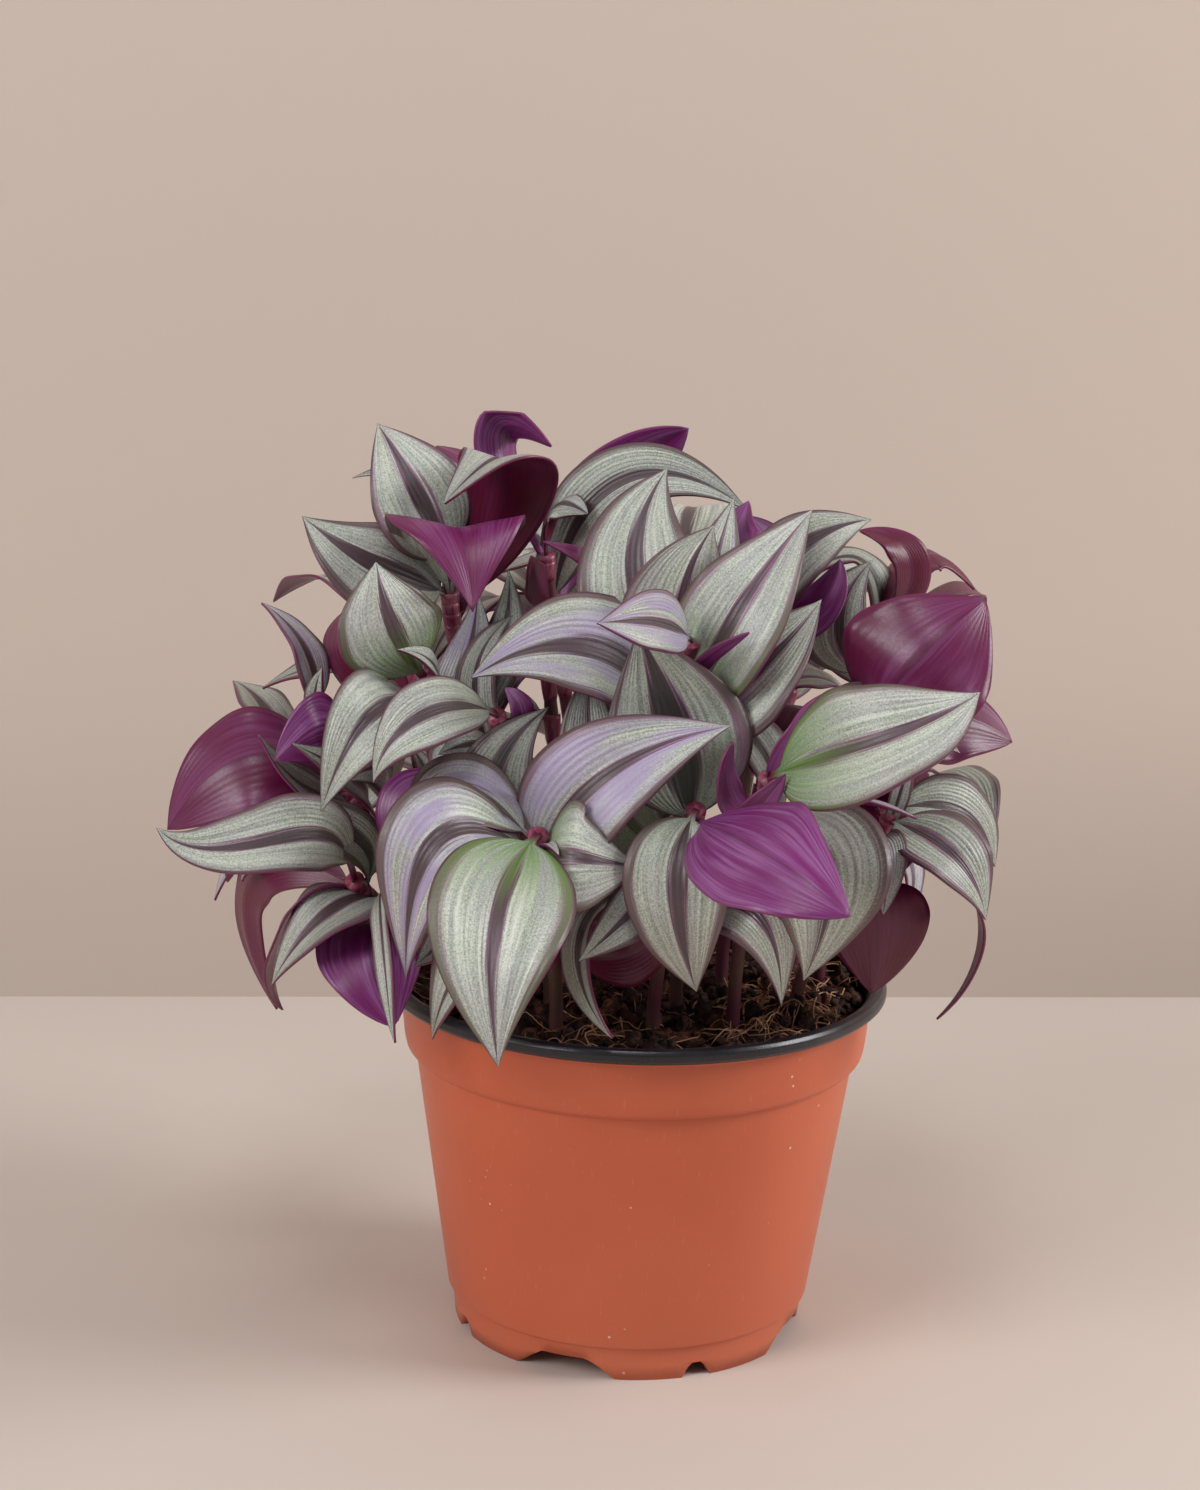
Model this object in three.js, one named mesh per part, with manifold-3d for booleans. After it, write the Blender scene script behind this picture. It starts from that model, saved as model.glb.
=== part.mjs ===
// Potted tradescantia: a two-colour nursery pot, its potting mix, and one node for each leafy stem.
// Millimetres, +Z up, x across the front, y towards the back. The pot stands on z = 0.
import * as THREE from 'three';
import { mergeVertices } from 'three/addons/utils/BufferGeometryUtils.js';
import Module from 'manifold-3d';

const wasm = await Module();
wasm.setup();

// ---- Pot ----
const LIP_RADIUS = 65;
const POT_HEIGHT = 94;
const LIP_BOTTOM = 90;
const WALL = 1;
const CREASE_HEIGHT = 74;
const CREASE_RADIUS = 57.2;
const COLLAR_RADIUS = 61;
const STEP_HEIGHT = 9.5;
const STEP_RADIUS = 47.4;
const FOOT_RADIUS = 45.4;
const FOOT_RING_WIDTH = 3.6;
const FLOOR_HEIGHT = 6;
const POT_SEGMENTS = 30;
const WIDE_NOTCH = { first: -110.5, count: 4, bottom: 26, top: 12, height: 5.2 };
const SMALL_NOTCH = { first: -67, count: 4, bottom: 6.6, top: 3.6, height: 4 };
const NOTCH_MARGIN = 1.4;
const DRAIN_HOLES = { count: 4, radius: 4, ring: 27, depth: 6 };
const DRAIN_SEGMENTS = 8;

// ---- Potting mix ----
const SOIL_GAP = 0.35;
const SOIL_TOP = 88.5;
const SOIL_RINGS = 4;
const SOIL_SEGMENTS = 24;
const SOIL_CENTRE = 1.5;
const SOIL_ROOM = WALL + SOIL_GAP + 0.15;
const SOIL_SHAPE = {
  mound: 1.6,
  coarse: { height: 0.9, waves: [0.31, 1.2, 0.27] },
  fine: { height: 0.6, waves: [0.53, -0.47] },
  heap: { height: 1.6, x: 44, y: -22, spread: 300 },
};

// ---- Stems ----
const STEM_RADIUS = 1.7;
const STEM_TIP_RADIUS = 0.8;
const STEM_SIDES = 5;
const STEM_RINGS = 6;
const STEM_DEPTH = 12;
const STEM_FREE_HEIGHT = 92;
const LEAF_SPACING = 3.4;
const STEM_START_RISE = 0.35;
const HOLE_GAP = 0.4;

// ---- Blades ----
const FRONT_WIDEN = 1.15;
const BLADE_THICKNESS = 0.8;
const BLADE_FOLD = 0.34;
const BLADE_ROUND = 0.16;
const BLADE_BASE_HALF = 1.1;
const BLADE_TIP_HALF = 0.35;
const BLADE_NECK = 0.07;
const BLADE_OUTLINE = { rise: 0.75, fall: 1.3 };
const EDGE_BEND = { at: [0.2, 0.5, 0.8], most: 0.3 };
const BLADE_KINDS = [
  { least: 28, stations: [0, 0.1, 0.34, 0.65, 1], across: [-1, -0.5, 0, 0.5, 1] },
  { least: 23, stations: [0, 0.1, 0.36, 0.68, 1], across: [-1, 0, 1] },
  { least: 9, stations: [0, 0.1, 0.36, 0.68, 1], across: [-1, 1] },
  { least: 0, stations: [0, 0.35, 1], across: [-1, 1] },
];

// ---- Room between the blades ----
const CLEAR = { rounds: 220, gap: 3, own: 1.4, reach: 10, beside: 6, step: 0.6, relax: 0.997 };
const HOLD = { wide: 18, main: 5, small: 2, ruled: 1 };
const MOST_BEND = { 5: 0.2, 2: 0.35, 1: 1.1 };
const MOST_SHIFT = { 5: 24, 2: 20, 1: 0 };
const VIEW_AWAY = new THREE.Vector3(0, 0.974, -0.226);
const VIEW_LEAST = 0.15;
const SHRINK = { after: 80, factor: 0.985, least: 0.55, across: -0.3 };
const STEM_PULL = 6;
const CLEAR_STATIONS = [0.16, 0.3, 0.44, 0.58, 0.72, 0.86, 1];
const CLEAR_ACROSS = [-1, -0.5, 0, 0.5, 1];
const STEM_ROOM = 4.5;
const RIM_ROOM = 3;
const REACH = { left: -112, right: 92, back: 98, top: 214 };

// ---- Colours ----
const COLOURS = {
  terracotta: { color: 0xc56242, roughness: 0.45 },
  peat: { color: 0x3a2114, roughness: 0.95 },
  leaf: { color: 0x8f9c86, roughness: 0.4 },
};

// Each leafy stem: where it stands in the mix (x, y), the points that its stem bends through, and its leaves.
// A leaf: how far up the stem it starts, its width, its roll in degrees from facing the front (180 shows its
// underside there), and the points of its midrib, tip last.
const FRONT = [0, -0.8, 0.6];
const SHOOTS = [
  { name: 'stem_front_left', root: [-20, -38], stem: [[-25, -50, 127], [-25, -66, 147]], fill: 1, leaves: [
    [1, 27, 0, [-32, -86, 138], [-34, -80, 97]],
    [0.93, 20, 0, [-45, -64, 156], [-55, -62, 130]],
    [0.97, 22, 0, [-46, -78, 150], [-54, -74, 113]],
    [1, 23, 180, [-13, -82, 150], [-1, -74, 147]],
    [1, 5, 0, [-23, -77, 149], [-21, -82, 144]],
    [0.95, 23, 0, [-9, -72, 168], [13, -64, 181]],
    [0.8, 18, 180, [-34, -54, 163], [-21, -46, 174]],
    [0.6, 14, 0, [-41, -60, 121], [-54, -60, 108]],
  ] },
  { name: 'stem_front_centre', root: [4, -36], stem: [[10, -44, 130], [12, -62, 153]], fill: 2, leaves: [
    [1, 26, 0, [5, -82, 140], [6, -72, 99]],
    [1, 25, 180, [28, -88, 148], [48, -86, 133]],
    [0.9, 29, 0, [5, -52, 175], [-1, -54, 195]],
    [0.72, 16, 0, [-13, -46, 168], [-11, -42, 185]],
    [0.7, 12, 0, [-3, -64, 133], [-18, -64, 124]],
    [0.5, 14, 180, [-3, -50, 113], [-15, -50, 112]],
    [0.55, 17, 0, [26, -64, 127], [35, -60, 104]],
  ] },
  { name: 'stem_front_right', root: [24, -32], stem: [[28, -42, 137], [29, -56, 160]], fill: 1, leaves: [
    [1, 25, -35, [48, -74, 174], [74, -58, 183]],
    [0.95, 10, 60, [33, -52, 171], [38, -46, 182]],
    [0.85, 26, 0, [41, -70, 143], [37, -62, 112]],
    [0.93, 7, 40, [21, -62, 162], [23, -62, 168]],
    [0.9, 7, -30, [24, -66, 160], [27, -66, 165]],
  ] },
  { name: 'stem_middle', root: [10, -18], stem: [[11, -28, 166], [10, -44, 190]], fill: 2, leaves: [
    [1, 24, 0, [-12, -62, 202], [-34, -62, 202]],
    [0.86, 25, 0, [-7, -30, 210], [-4, -20, 226]],
    [1, 24, 180, [5, -40, 204], [7, -40, 217]],
    [1, 6, 30, [13, -52, 201], [18, -52, 209]],
    [1, 22, 0, [27, -56, 204], [44, -46, 219]],
    [0.93, 22, 0, [29, -52, 186], [48, -44, 198]],
    [0.8, 14, 0, [8, -20, 212], [7, -14, 221]],
    [0.72, 24, 0, [-22, -46, 188], [-41, -50, 181]],
  ] },
  { name: 'stem_left_centre', root: [-22, -20], stem: [[-36, -30, 147], [-36, -46, 171]], fill: 0, leaves: [
    [1, 14, 0, [-52, -62, 175], [-65, -58, 163]],
    [0.85, 12, 0, [-50, -54, 163], [-61, -58, 154]],
    [1, 6, 0, [-39, -50, 176], [-43, -50, 177]],
    [0.9, 9, 30, [-41, -44, 186], [-37, -38, 193]],
    [0.7, 12, 180, [-58, -58, 150], [-55, -62, 130]],
    [0.75, 14, 0, [-47, -40, 158], [-52, -46, 149]],
  ] },
  { name: 'stem_left', root: [-34, -16], stem: [[-58, -10, 154], [-54, -38, 178]], fill: 2, leaves: [
    [1, 22, 180, [-62, -41, 190], [-69, -32, 202]],
    [0.85, 21, 180, [-74, -27, 187], [-67, -18, 199]],
    [1, 7, 0, [-61, -51, 183], [-68, -53, 183]],
    [0.95, 18, 0, [-67, -58, 174], [-77, -58, 157]],
    [0.85, 11, 180, [-46, -30, 184], [-47, -22, 197]],
    [0.7, 10, 0, [-40, -19, 192], [-44, -12, 203]],
  ] },
  { name: 'stem_top_left', root: [-36, 4], stem: [[-52, -2, 183], [-50, -8, 204]], fill: 0, leaves: [
    [0.95, 21, 0, [-61, -16, 222], [-72, -12, 233]],
    [0.85, 20, 0, [-72, -22, 210], [-82, -18, 221]],
    [1, 28, 0, [-50, -34, 211], [-49, -44, 193]],
    [1, 24, 180, [-45, 1, 223], [-58, 4, 231]],
    [1, 21, 180, [-37, -19, 225], [-48, -26, 213]],
    [0.9, 6, 0, [-67, 3, 225], [-74, 0, 224]],
  ] },
  { name: 'stem_top_centre', root: [-12, 6], stem: [[-24, 2, 181], [-26, -4, 203]], fill: 1, leaves: [
    [1, 18, 180, [-20, -10, 225], [-12, -17, 222]],
    [1, 12, 180, [-36, 10, 232], [-27, 6, 228]],
    [0.85, 15, 180, [-34, -13, 202], [-38, -16, 209]],
    [0.85, 7, 0, [-22, -32, 208], [-33, -34, 211]],
    [1, 15, 0, [-4, 4, 229], [12, 0, 229]],
    [0.95, 20, 40, [3, 12, 224], [16, 10, 230]],
  ] },
  { name: 'stem_upper_right', root: [22, -2], stem: [[32, -12, 178], [30, -18, 196]], fill: 1, leaves: [
    [1, 15, 180, [19, -12, 209], [24, -6, 218]],
    [0.95, 12, 180, [30, -8, 207], [27, -4, 215]],
    [1, 14, 0, [38, -28, 215], [49, -24, 220]],
    [0.85, 9, 180, [40, -26, 197], [43, -24, 206]],
  ] },
  { name: 'stem_right_top', root: [34, 0], stem: [[60, -8, 171], [59, -10, 189]], fill: 1, leaves: [
    [1, 9, 0, [65, -4, 205], [55, 0, 212]],
    [1, 14, 180, [70, 5, 204], [78, 5, 197]],
    [0.95, 14, 0, [86, -4, 197], [83, -10, 183]],
    [0.8, 15, 0, [48, -24, 193], [55, -22, 205]],
    [0.9, 12, 0, [55, 5, 203], [45, 3, 198]],
  ] },
  { name: 'stem_right', root: [36, -16], stem: [[55, -24, 146], [56, -36, 169]], fill: 2, leaves: [
    [1, 31, 180, [61, -54, 190], [73, -48, 205]],
    [0.9, 19, 180, [77, -31, 171], [91, -30, 168]],
    [0.95, 9, 0, [65, -44, 171], [73, -42, 170]],
    [1, 10, 0, [52, -42, 177], [44, -42, 174]],
  ] },
  { name: 'stem_right_low', root: [40, -24], stem: [[61, -32, 133], [60, -38, 148]], fill: 1, leaves: [
    [1, 14, 0, [77, -38, 148], [87, -36, 132]],
    [1, 15, 0, [70, -52, 141], [79, -50, 122]],
    [1, 4, 0, [63, -40, 156], [65, -38, 163]],
    [0.6, 23, 180, [58, -52, 127], [60, -58, 110]],
    [0.9, 10, 180, [57, -49, 144], [58, -50, 134]],
    [0.9, 15, 180, [71, -22, 152], [75, -14, 158]],
  ] },
  { name: 'stem_left_low', root: [-44, -22], stem: [[-66, -32, 116], [-70, -42, 128]], fill: 1, leaves: [
    [1, 16, 0, [-82, -56, 142], [-103, -56, 133], [-119, -48, 130]],
    [0.9, 12, 0, [-70, -44, 141], [-82, -46, 146], [-102, -42, 143]],
    [0.9, 14, 180, [-97, -30, 129], [-101, -26, 99]],
    [0.8, 11, 85, [-84, -44, 121], [-90, -42, 104], [-86, -40, 87]],
    [0.75, 21, 180, [-67, -50, 115], [-63, -65, 101]],
    [1, 10, 70, [-66, -60, 128], [-63, -72, 113], [-56, -76, 96]],
    [0.6, 9, 80, [-58, -52, 129], [-58, -62, 117], [-51, -68, 110]],
  ] },
  { name: 'stem_far_left', root: [-46, -6], stem: [[-70, -12, 131], [-76, -16, 146]], fill: 1, leaves: [
    [1, 25, 180, [-97, -33, 156], [-119, -32, 142]],
    [1, 15, 180, [-87, -34, 167], [-96, -36, 161]],
    [0.95, 9, 0, [-84, -40, 155], [-84, -44, 160]],
    [0.8, 12, 0, [-74, -38, 149], [-88, -42, 151]],
    [0.85, 12, 0, [-70, -28, 158], [-80, -32, 157]],
    [0.7, 12, 180, [-98, -10, 140], [-109, -12, 128]],
  ] },
  { name: 'stem_left_upper', root: [-42, 10], stem: [[-76, -4, 148], [-83, -12, 163]], fill: 0, leaves: [
    [1, 11, 50, [-83, -16, 184], [-88, -12, 199]],
    [1, 9, 0, [-80, -22, 175], [-76, -24, 182]],
    [0.9, 11, 180, [-77, -16, 169], [-80, -27, 166]],
  ] },
];

// Leafy stems at the back and sides, and how many leaves each one has. Their leaves follow one rule.
const BACK_SHOOTS = [
  { name: 'stem_back_left', root: [-34, 26], stem: [[-58, 34, 150], [-64, 40, 168]], count: 7 },
  { name: 'stem_back_left_low', root: [-44, 22], stem: [[-78, 30, 112], [-88, 34, 128]], count: 6 },
  { name: 'stem_back', root: [-10, 40], stem: [[-16, 60, 150], [-18, 68, 168]], count: 7 },
  { name: 'stem_back_low', root: [4, 46], stem: [[12, 74, 112], [14, 84, 124]], count: 6 },
  { name: 'stem_back_right', root: [26, 30], stem: [[38, 40, 152], [42, 46, 170]], count: 7 },
  { name: 'stem_back_right_low', root: [42, 20], stem: [[58, 42, 112], [64, 50, 124]], count: 6 },
  { name: 'stem_crown', root: [2, 20], stem: [[6, 24, 172], [8, 26, 188]], count: 7 },
  { name: 'stem_crown_left', root: [-20, 24], stem: [[-26, 30, 164], [-26, 34, 182]], count: 5 },
  { name: 'stem_side_right', root: [48, 8], stem: [[68, 18, 134], [72, 20, 150]], count: 5 },
];
const LEAF_RULE = {
  seed: 28, turns: [0, 95, -80, 40, -140, 150, -35], jitter: 14, length: [40, 52], width: [19, 25],
  rise: [9, 15], lift: [10, -22], lowest: 0.5, outward: 0.6, upward: 0.8,
};
// Lower leaves of the front stems, which fill the plant from inside.
const FILL_RULE = { turns: [35, -60, 80], highest: 0.66, step: 0.14, lift: [-4, -16], shorter: 0.9 };

// Leaves that stay shorter than the others where two stems cross, and by how much.
const SHORTER = { stem_left: { 6: 0.3 } };

// ---- Small helpers ----
const radians = THREE.MathUtils.degToRad;
const vec = (p) => new THREE.Vector3(p[0], p[1], p[2]);
const UP = new THREE.Vector3(0, 0, 1);

/** A seeded stream of numbers between 0 and 1. */
function stream(seed) {
  let state = seed;
  return () => {
    state = (state * 16807) % 2147483647;
    return state / 2147483647;
  };
}

/** Length of the straight lines between points, and the share of it at which each point is reached. */
function shares(points) {
  const lengths = points.map((point, i) => (i ? point.distanceTo(points[i - 1]) : 0));
  const total = lengths.reduce((sum, length) => sum + length, 0);
  let reached = 0;
  const knots = lengths.map((length) => {
    reached += length;
    return reached / total;
  });
  return { knots, length: total };
}

/** Point and direction at share t of the smooth curve through a leaf's points. */
function through({ points, knots }, t) {
  const at = new THREE.Vector3();
  const along = new THREE.Vector3();
  points.forEach((point, i) => {
    let weight = 1;
    let slope = 0;
    knots.forEach((knot, j) => {
      if (j === i) return;
      const factor = (t - knot) / (knots[i] - knot);
      slope = slope * factor + weight / (knots[i] - knot);
      weight *= factor;
    });
    at.addScaledVector(point, weight);
    along.addScaledVector(point, slope);
  });
  return { at, along: along.normalize() };
}

/** Point on a stem: straight up out of the mix, then over to its top. */
function stemPoint(shoot, f) {
  const foot = new THREE.Vector3(shoot.root[0], shoot.root[1], STEM_FREE_HEIGHT);
  const [bend, top] = shoot.stem.map(vec);
  const rise = new THREE.Vector3(0, 0, (top.z - foot.z) * STEM_START_RISE).add(foot);
  return new THREE.CubicBezierCurve3(foot, rise, bend, top).getPoint(f);
}

/** One leaf by rule: out from the stem at a heading, over a low arch. */
function ruledLeaf(shoot, f, turn, lift, scale, draw) {
  const between = (pair) => pair[0] + (pair[1] - pair[0]) * draw();
  const [x, y] = shoot.stem[1];
  const heading = Math.atan2(y, x) + radians(turn + LEAF_RULE.jitter * (2 * draw() - 1));
  const length = between(LEAF_RULE.length) * scale;
  const width = between(LEAF_RULE.width) * scale;
  const rise = between(LEAF_RULE.rise);
  const base = stemPoint(shoot, f);
  const way = new THREE.Vector3(Math.cos(heading), Math.sin(heading), 0);
  const tip = base.clone().addScaledVector(way, length).add(new THREE.Vector3(0, 0, lift));
  const middle = base.clone().lerp(tip, 0.5).add(new THREE.Vector3(0, 0, rise));
  const face = [LEAF_RULE.outward * way.x, LEAF_RULE.outward * way.y, LEAF_RULE.upward];
  return { face, hold: HOLD.ruled, row: [f, width, 0, middle.toArray(), tip.toArray()] };
}

/** Leaves of a back stem: they turn round it in steps, level at the top and hanging lower down. */
function backLeaves(shoot, draw) {
  return Array.from({ length: shoot.count }, (_, i) => {
    const down = i / (shoot.count - 1);
    const lift = LEAF_RULE.lift[0] + (LEAF_RULE.lift[1] - LEAF_RULE.lift[0]) * down;
    return ruledLeaf(shoot, 1 - (1 - LEAF_RULE.lowest) * down, LEAF_RULE.turns[i], lift, 1, draw);
  });
}

/** Leaves of a front stem: those set by hand, each sheath below the last one, then lower ones by rule. */
function frontLeaves(shoot, draw) {
  const step = LEAF_SPACING / stemPoint(shoot, 0).distanceTo(stemPoint(shoot, 1));
  let free = 1;
  const set = shoot.leaves.map(([f, width, ...rest]) => {
    const place = Math.min(f, free);
    free = place - step;
    const hold = width < HOLD.wide ? HOLD.small : HOLD.main;
    return { face: FRONT, hold, row: [place, width * FRONT_WIDEN, ...rest] };
  });
  const low = Array.from({ length: shoot.fill }, (_, i) => {
    const f = FILL_RULE.highest - FILL_RULE.step * i;
    const lift = FILL_RULE.lift[0] + (FILL_RULE.lift[1] - FILL_RULE.lift[0]) * (i / 2);
    return ruledLeaf(shoot, f, FILL_RULE.turns[i], lift, FILL_RULE.shorter, draw);
  });
  return [...set, ...low];
}

/** One leaf made ready: its midrib points, its half width and how it lies about its midrib. */
function makeLeaf(shoot, { face, hold, row }) {
  const [f, width, roll, ...rest] = row;
  const half = width / 2;
  const points = [stemPoint(shoot, f), ...rest.map(vec)];
  const { knots, length } = shares(points);
  const [near, middle, far] = EDGE_BEND.at.map((t) => through({ points, knots }, t).along);
  const level = middle.clone().cross(vec(face)).normalize().applyAxisAngle(middle, radians(roll));
  const last = points.length - 1;
  const curl = points[1].clone().sub(points[0]).cross(points[last].clone().sub(points[last - 1])).normalize();
  // a blade bends over easily and edgewise hardly at all, so one on a tight curve lies across it
  const radius = (length * (EDGE_BEND.at[2] - EDGE_BEND.at[0])) / near.angleTo(far);
  const most = Math.min(EDGE_BEND.most * (radius / half), 1);
  const within = THREE.MathUtils.clamp(level.dot(middle.clone().cross(curl)), -most, most);
  const out = Math.sqrt(1 - within * within) * (level.dot(curl) < 0 ? -1 : 1);
  const leaf = { shoot, points, knots, base: points[0], half, curl, lean: { out, within }, hold };
  return { ...leaf, bend: new THREE.Vector3(), shift: 0, size: 1 };
}

/** Half width of a blade along its length: narrow at the sheath, widest past a third, fine at the tip. */
function halfWidth(leaf, t) {
  const { rise, fall } = BLADE_OUTLINE;
  const shape = (u) => (u ** rise) * ((1 - u) ** fall);
  const u = Math.max(t - BLADE_NECK, 0) / (1 - BLADE_NECK);
  const least = BLADE_BASE_HALF + (BLADE_TIP_HALF - BLADE_BASE_HALF) * t;
  return Math.max((leaf.half * shape(u)) / shape(rise / (rise + fall)), Math.min(least, leaf.half));
}

/** Sideways direction of a blade where its midrib runs along: the blade bends with it and doesn't twist. */
function sideways({ curl, lean }, along) {
  const side = curl.clone().multiplyScalar(lean.out).addScaledVector(along.clone().cross(curl), lean.within);
  return side.addScaledVector(along, -side.dot(along)).normalize();
}

/** A point of the blade, s from -1 at one edge to 1 at the other, and the upper side there. */
function bladePoint(leaf, t, s) {
  const { at, along } = through(leaf, t);
  const side = sideways(leaf, along);
  const up = side.clone().cross(along).normalize();
  const half = halfWidth(leaf, t);
  const cup = half * (BLADE_FOLD * Math.abs(s) - BLADE_ROUND * s * s);
  const point = at.addScaledVector(side, half * s).addScaledVector(up, cup);
  const turn = leaf.bend.length() * t;
  const axis = leaf.bend.clone().normalize();
  point.sub(leaf.base).multiplyScalar(leaf.size).applyAxisAngle(axis, turn).add(leaf.base);
  point.addScaledVector(VIEW_AWAY, leaf.shift * t);
  up.applyAxisAngle(axis, turn);
  side.applyAxisAngle(axis, turn);
  return { point, up, side, half };
}

// ---- Bending the blades clear of each other ----

/** Sample points of a blade for the clearing rounds. */
function sample(leaf) {
  const points = [];
  const centre = new THREE.Vector3();
  for (const t of CLEAR_STATIONS) {
    for (const s of CLEAR_ACROSS) {
      const { point, up, side, half } = bladePoint(leaf, t, s);
      points.push({ x: point.x, y: point.y, z: point.z, nx: up.x, ny: up.y, nz: up.z, t, s, side, half });
      centre.add(point);
    }
  }
  centre.divideScalar(points.length);
  let radius = 0;
  for (const { x, y, z } of points) radius = Math.max(radius, centre.distanceTo({ x, y, z }));
  return { points, centre, radius };
}

/** Adds a wish to move one sample by d: it turns the leaf about its base. */
function wish(pull, leaf, p, dx, dy, dz, strength = 1) {
  const rx = p.x - leaf.base.x;
  const ry = p.y - leaf.base.y;
  const rz = p.z - leaf.base.z;
  pull.x += strength * p.t * (ry * dz - rz * dy);
  pull.y += strength * p.t * (rz * dx - rx * dz);
  pull.z += strength * p.t * (rx * dy - ry * dx);
  pull.weight += strength * p.t * p.t * (rx * rx + ry * ry + rz * rz);
  const away = dx * VIEW_AWAY.x + dy * VIEW_AWAY.y + dz * VIEW_AWAY.z;
  const square = dx * dx + dy * dy + dz * dz;
  if (square === 0) return;
  pull.away += strength * p.t * away;
  pull.awayWeight += strength * p.t * p.t * Math.max((away * away) / square, VIEW_LEAST);
}

/** Contacts of the samples of one blade with the face of another. */
function contacts(from, onto) {
  const found = [];
  let lean = 0;
  for (const p of from.points) {
    let nearest = null;
    let best = CLEAR.reach * CLEAR.reach;
    for (const q of onto.points) {
      const d = (p.x - q.x) ** 2 + (p.y - q.y) ** 2 + (p.z - q.z) ** 2;
      if (d < best) {
        best = d;
        nearest = q;
      }
    }
    if (!nearest) continue;
    const q = nearest;
    const height = (p.x - q.x) * q.nx + (p.y - q.y) * q.ny + (p.z - q.z) * q.nz;
    if (best - height * height > CLEAR.beside * CLEAR.beside) continue;
    lean += height;
    found.push({ p, q, height });
  }
  return { found, way: lean < 0 ? -1 : 1 };
}

/** Pushes two blades apart where their samples come closer than the gap. The firmer one moves less. */
function pushApart(views, i, j, leaves, pulls) {
  const { found, way } = contacts(views[i], views[j]);
  const gap = leaves[i].shoot === leaves[j].shoot ? CLEAR.own : CLEAR.gap;
  const share = leaves[j].hold / (leaves[i].hold + leaves[j].hold);
  const loser = share > 0.5 || (share === 0.5 && i > j) ? i : j;
  for (const { p, q, height } of found) {
    const need = gap - way * height;
    if (need <= 0) continue;
    if (way * height < SHRINK.across && gap === CLEAR.gap) pulls[loser].crossed = true;
    const push = need * way;
    const back = -push * (1 - share);
    wish(pulls[i], leaves[i], p, push * share * q.nx, push * share * q.ny, push * share * q.nz);
    wish(pulls[j], leaves[j], q, back * q.nx, back * q.ny, back * q.nz);
  }
}

/** Slides a blade sideways off a stem that meets it, by the shorter way to its edge. */
function slideOff(leaf, view, pull, stem) {
  let best = STEM_ROOM * STEM_ROOM;
  let met = null;
  for (const p of view.points) {
    if (stem.shoot === leaf.shoot && p.t < 0.4) continue;
    for (const c of stem.points) {
      const d = (p.x - c.x) ** 2 + (p.y - c.y) ** 2 + (p.z - c.z) ** 2;
      if (d < best) {
        best = d;
        met = { p, c };
      }
    }
  }
  if (!met) return;
  const { p, c } = met;
  const beside = (c.x - p.x) * p.side.x + (c.y - p.y) * p.side.y + (c.z - p.z) * p.side.z;
  const where = p.half * p.s + beside;
  const push = where < 0 ? p.half + where + STEM_ROOM : where - p.half - STEM_ROOM;
  if (Math.abs(where) < p.half) pull.crossed = true;
  wish(pull, leaf, p, push * p.side.x, push * p.side.y, push * p.side.z, STEM_PULL);
}

/** Keeps a blade within the reach of the plant. */
function keepInside(leaf, view, pull) {
  for (const p of view.points) {
    const dx = THREE.MathUtils.clamp(p.x, REACH.left, REACH.right) - p.x;
    const dy = Math.min(p.y, REACH.back) - p.y;
    const dz = Math.min(p.z, REACH.top) - p.z;
    if (dx !== 0 || dy !== 0 || dz !== 0) wish(pull, leaf, p, dx, dy, dz);
  }
}

/** Keeps a blade off the stems, the mix and the rim of the pot. */
function keepOff(leaf, view, pull, stems) {
  stems.forEach((stem) => slideOff(leaf, view, pull, stem));
  if (leaf.hold === HOLD.ruled) keepInside(leaf, view, pull);
  for (const p of view.points) {
    const r = Math.hypot(p.x, p.y);
    const top = POT_HEIGHT + RIM_ROOM;
    if (p.z >= top || r > LIP_RADIUS + RIM_ROOM) continue;
    if (r > LIP_RADIUS - 1) {
      const push = (LIP_RADIUS + RIM_ROOM - r) / r;
      wish(pull, leaf, p, p.x * push, p.y * push, 0);
    } else {
      wish(pull, leaf, p, 0, 0, top - p.z);
    }
  }
}

/** Bends every leaf, a little each round, until the blades hang clear of one another. */
function bendClear(leaves, shoots) {
  const stems = shoots.map((shoot) => {
    const count = Math.ceil((shoot.stem[1][2] - STEM_FREE_HEIGHT) / 3);
    return { shoot, points: Array.from({ length: count + 1 }, (_, i) => stemPoint(shoot, i / count)) };
  });
  for (let round = 0; round < CLEAR.rounds; round += 1) {
    const views = leaves.map(sample);
    const pulls = leaves.map(() => ({ x: 0, y: 0, z: 0, weight: 0, away: 0, awayWeight: 0, crossed: false }));
    for (let i = 0; i < leaves.length; i += 1) {
      for (let j = 0; j < leaves.length; j += 1) {
        if (i === j) continue;
        const near = views[i].radius + views[j].radius + CLEAR.gap;
        if (views[i].centre.distanceTo(views[j].centre) > near) continue;
        pushApart(views, i, j, leaves, pulls);
      }
      keepOff(leaves[i], views[i], pulls[i], stems);
    }
    leaves.forEach((leaf, i) => {
      const { x, y, z, weight, crossed } = pulls[i];
      if (crossed && round > SHRINK.after) leaf.size = Math.max(leaf.size * SHRINK.factor, SHRINK.least);
      leaf.bend.multiplyScalar(CLEAR.relax);
      if (weight > 0) leaf.bend.add(new THREE.Vector3(x, y, z).multiplyScalar(CLEAR.step / weight));
      leaf.bend.clampLength(0, MOST_BEND[leaf.hold]);
      const { away, awayWeight } = pulls[i];
      if (awayWeight > 0) leaf.shift = leaf.shift * CLEAR.relax + (CLEAR.step * away) / awayWeight;
      leaf.shift = THREE.MathUtils.clamp(leaf.shift, -MOST_SHIFT[leaf.hold], MOST_SHIFT[leaf.hold]);
    });
  }
}

// ---- Solids ----

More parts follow.
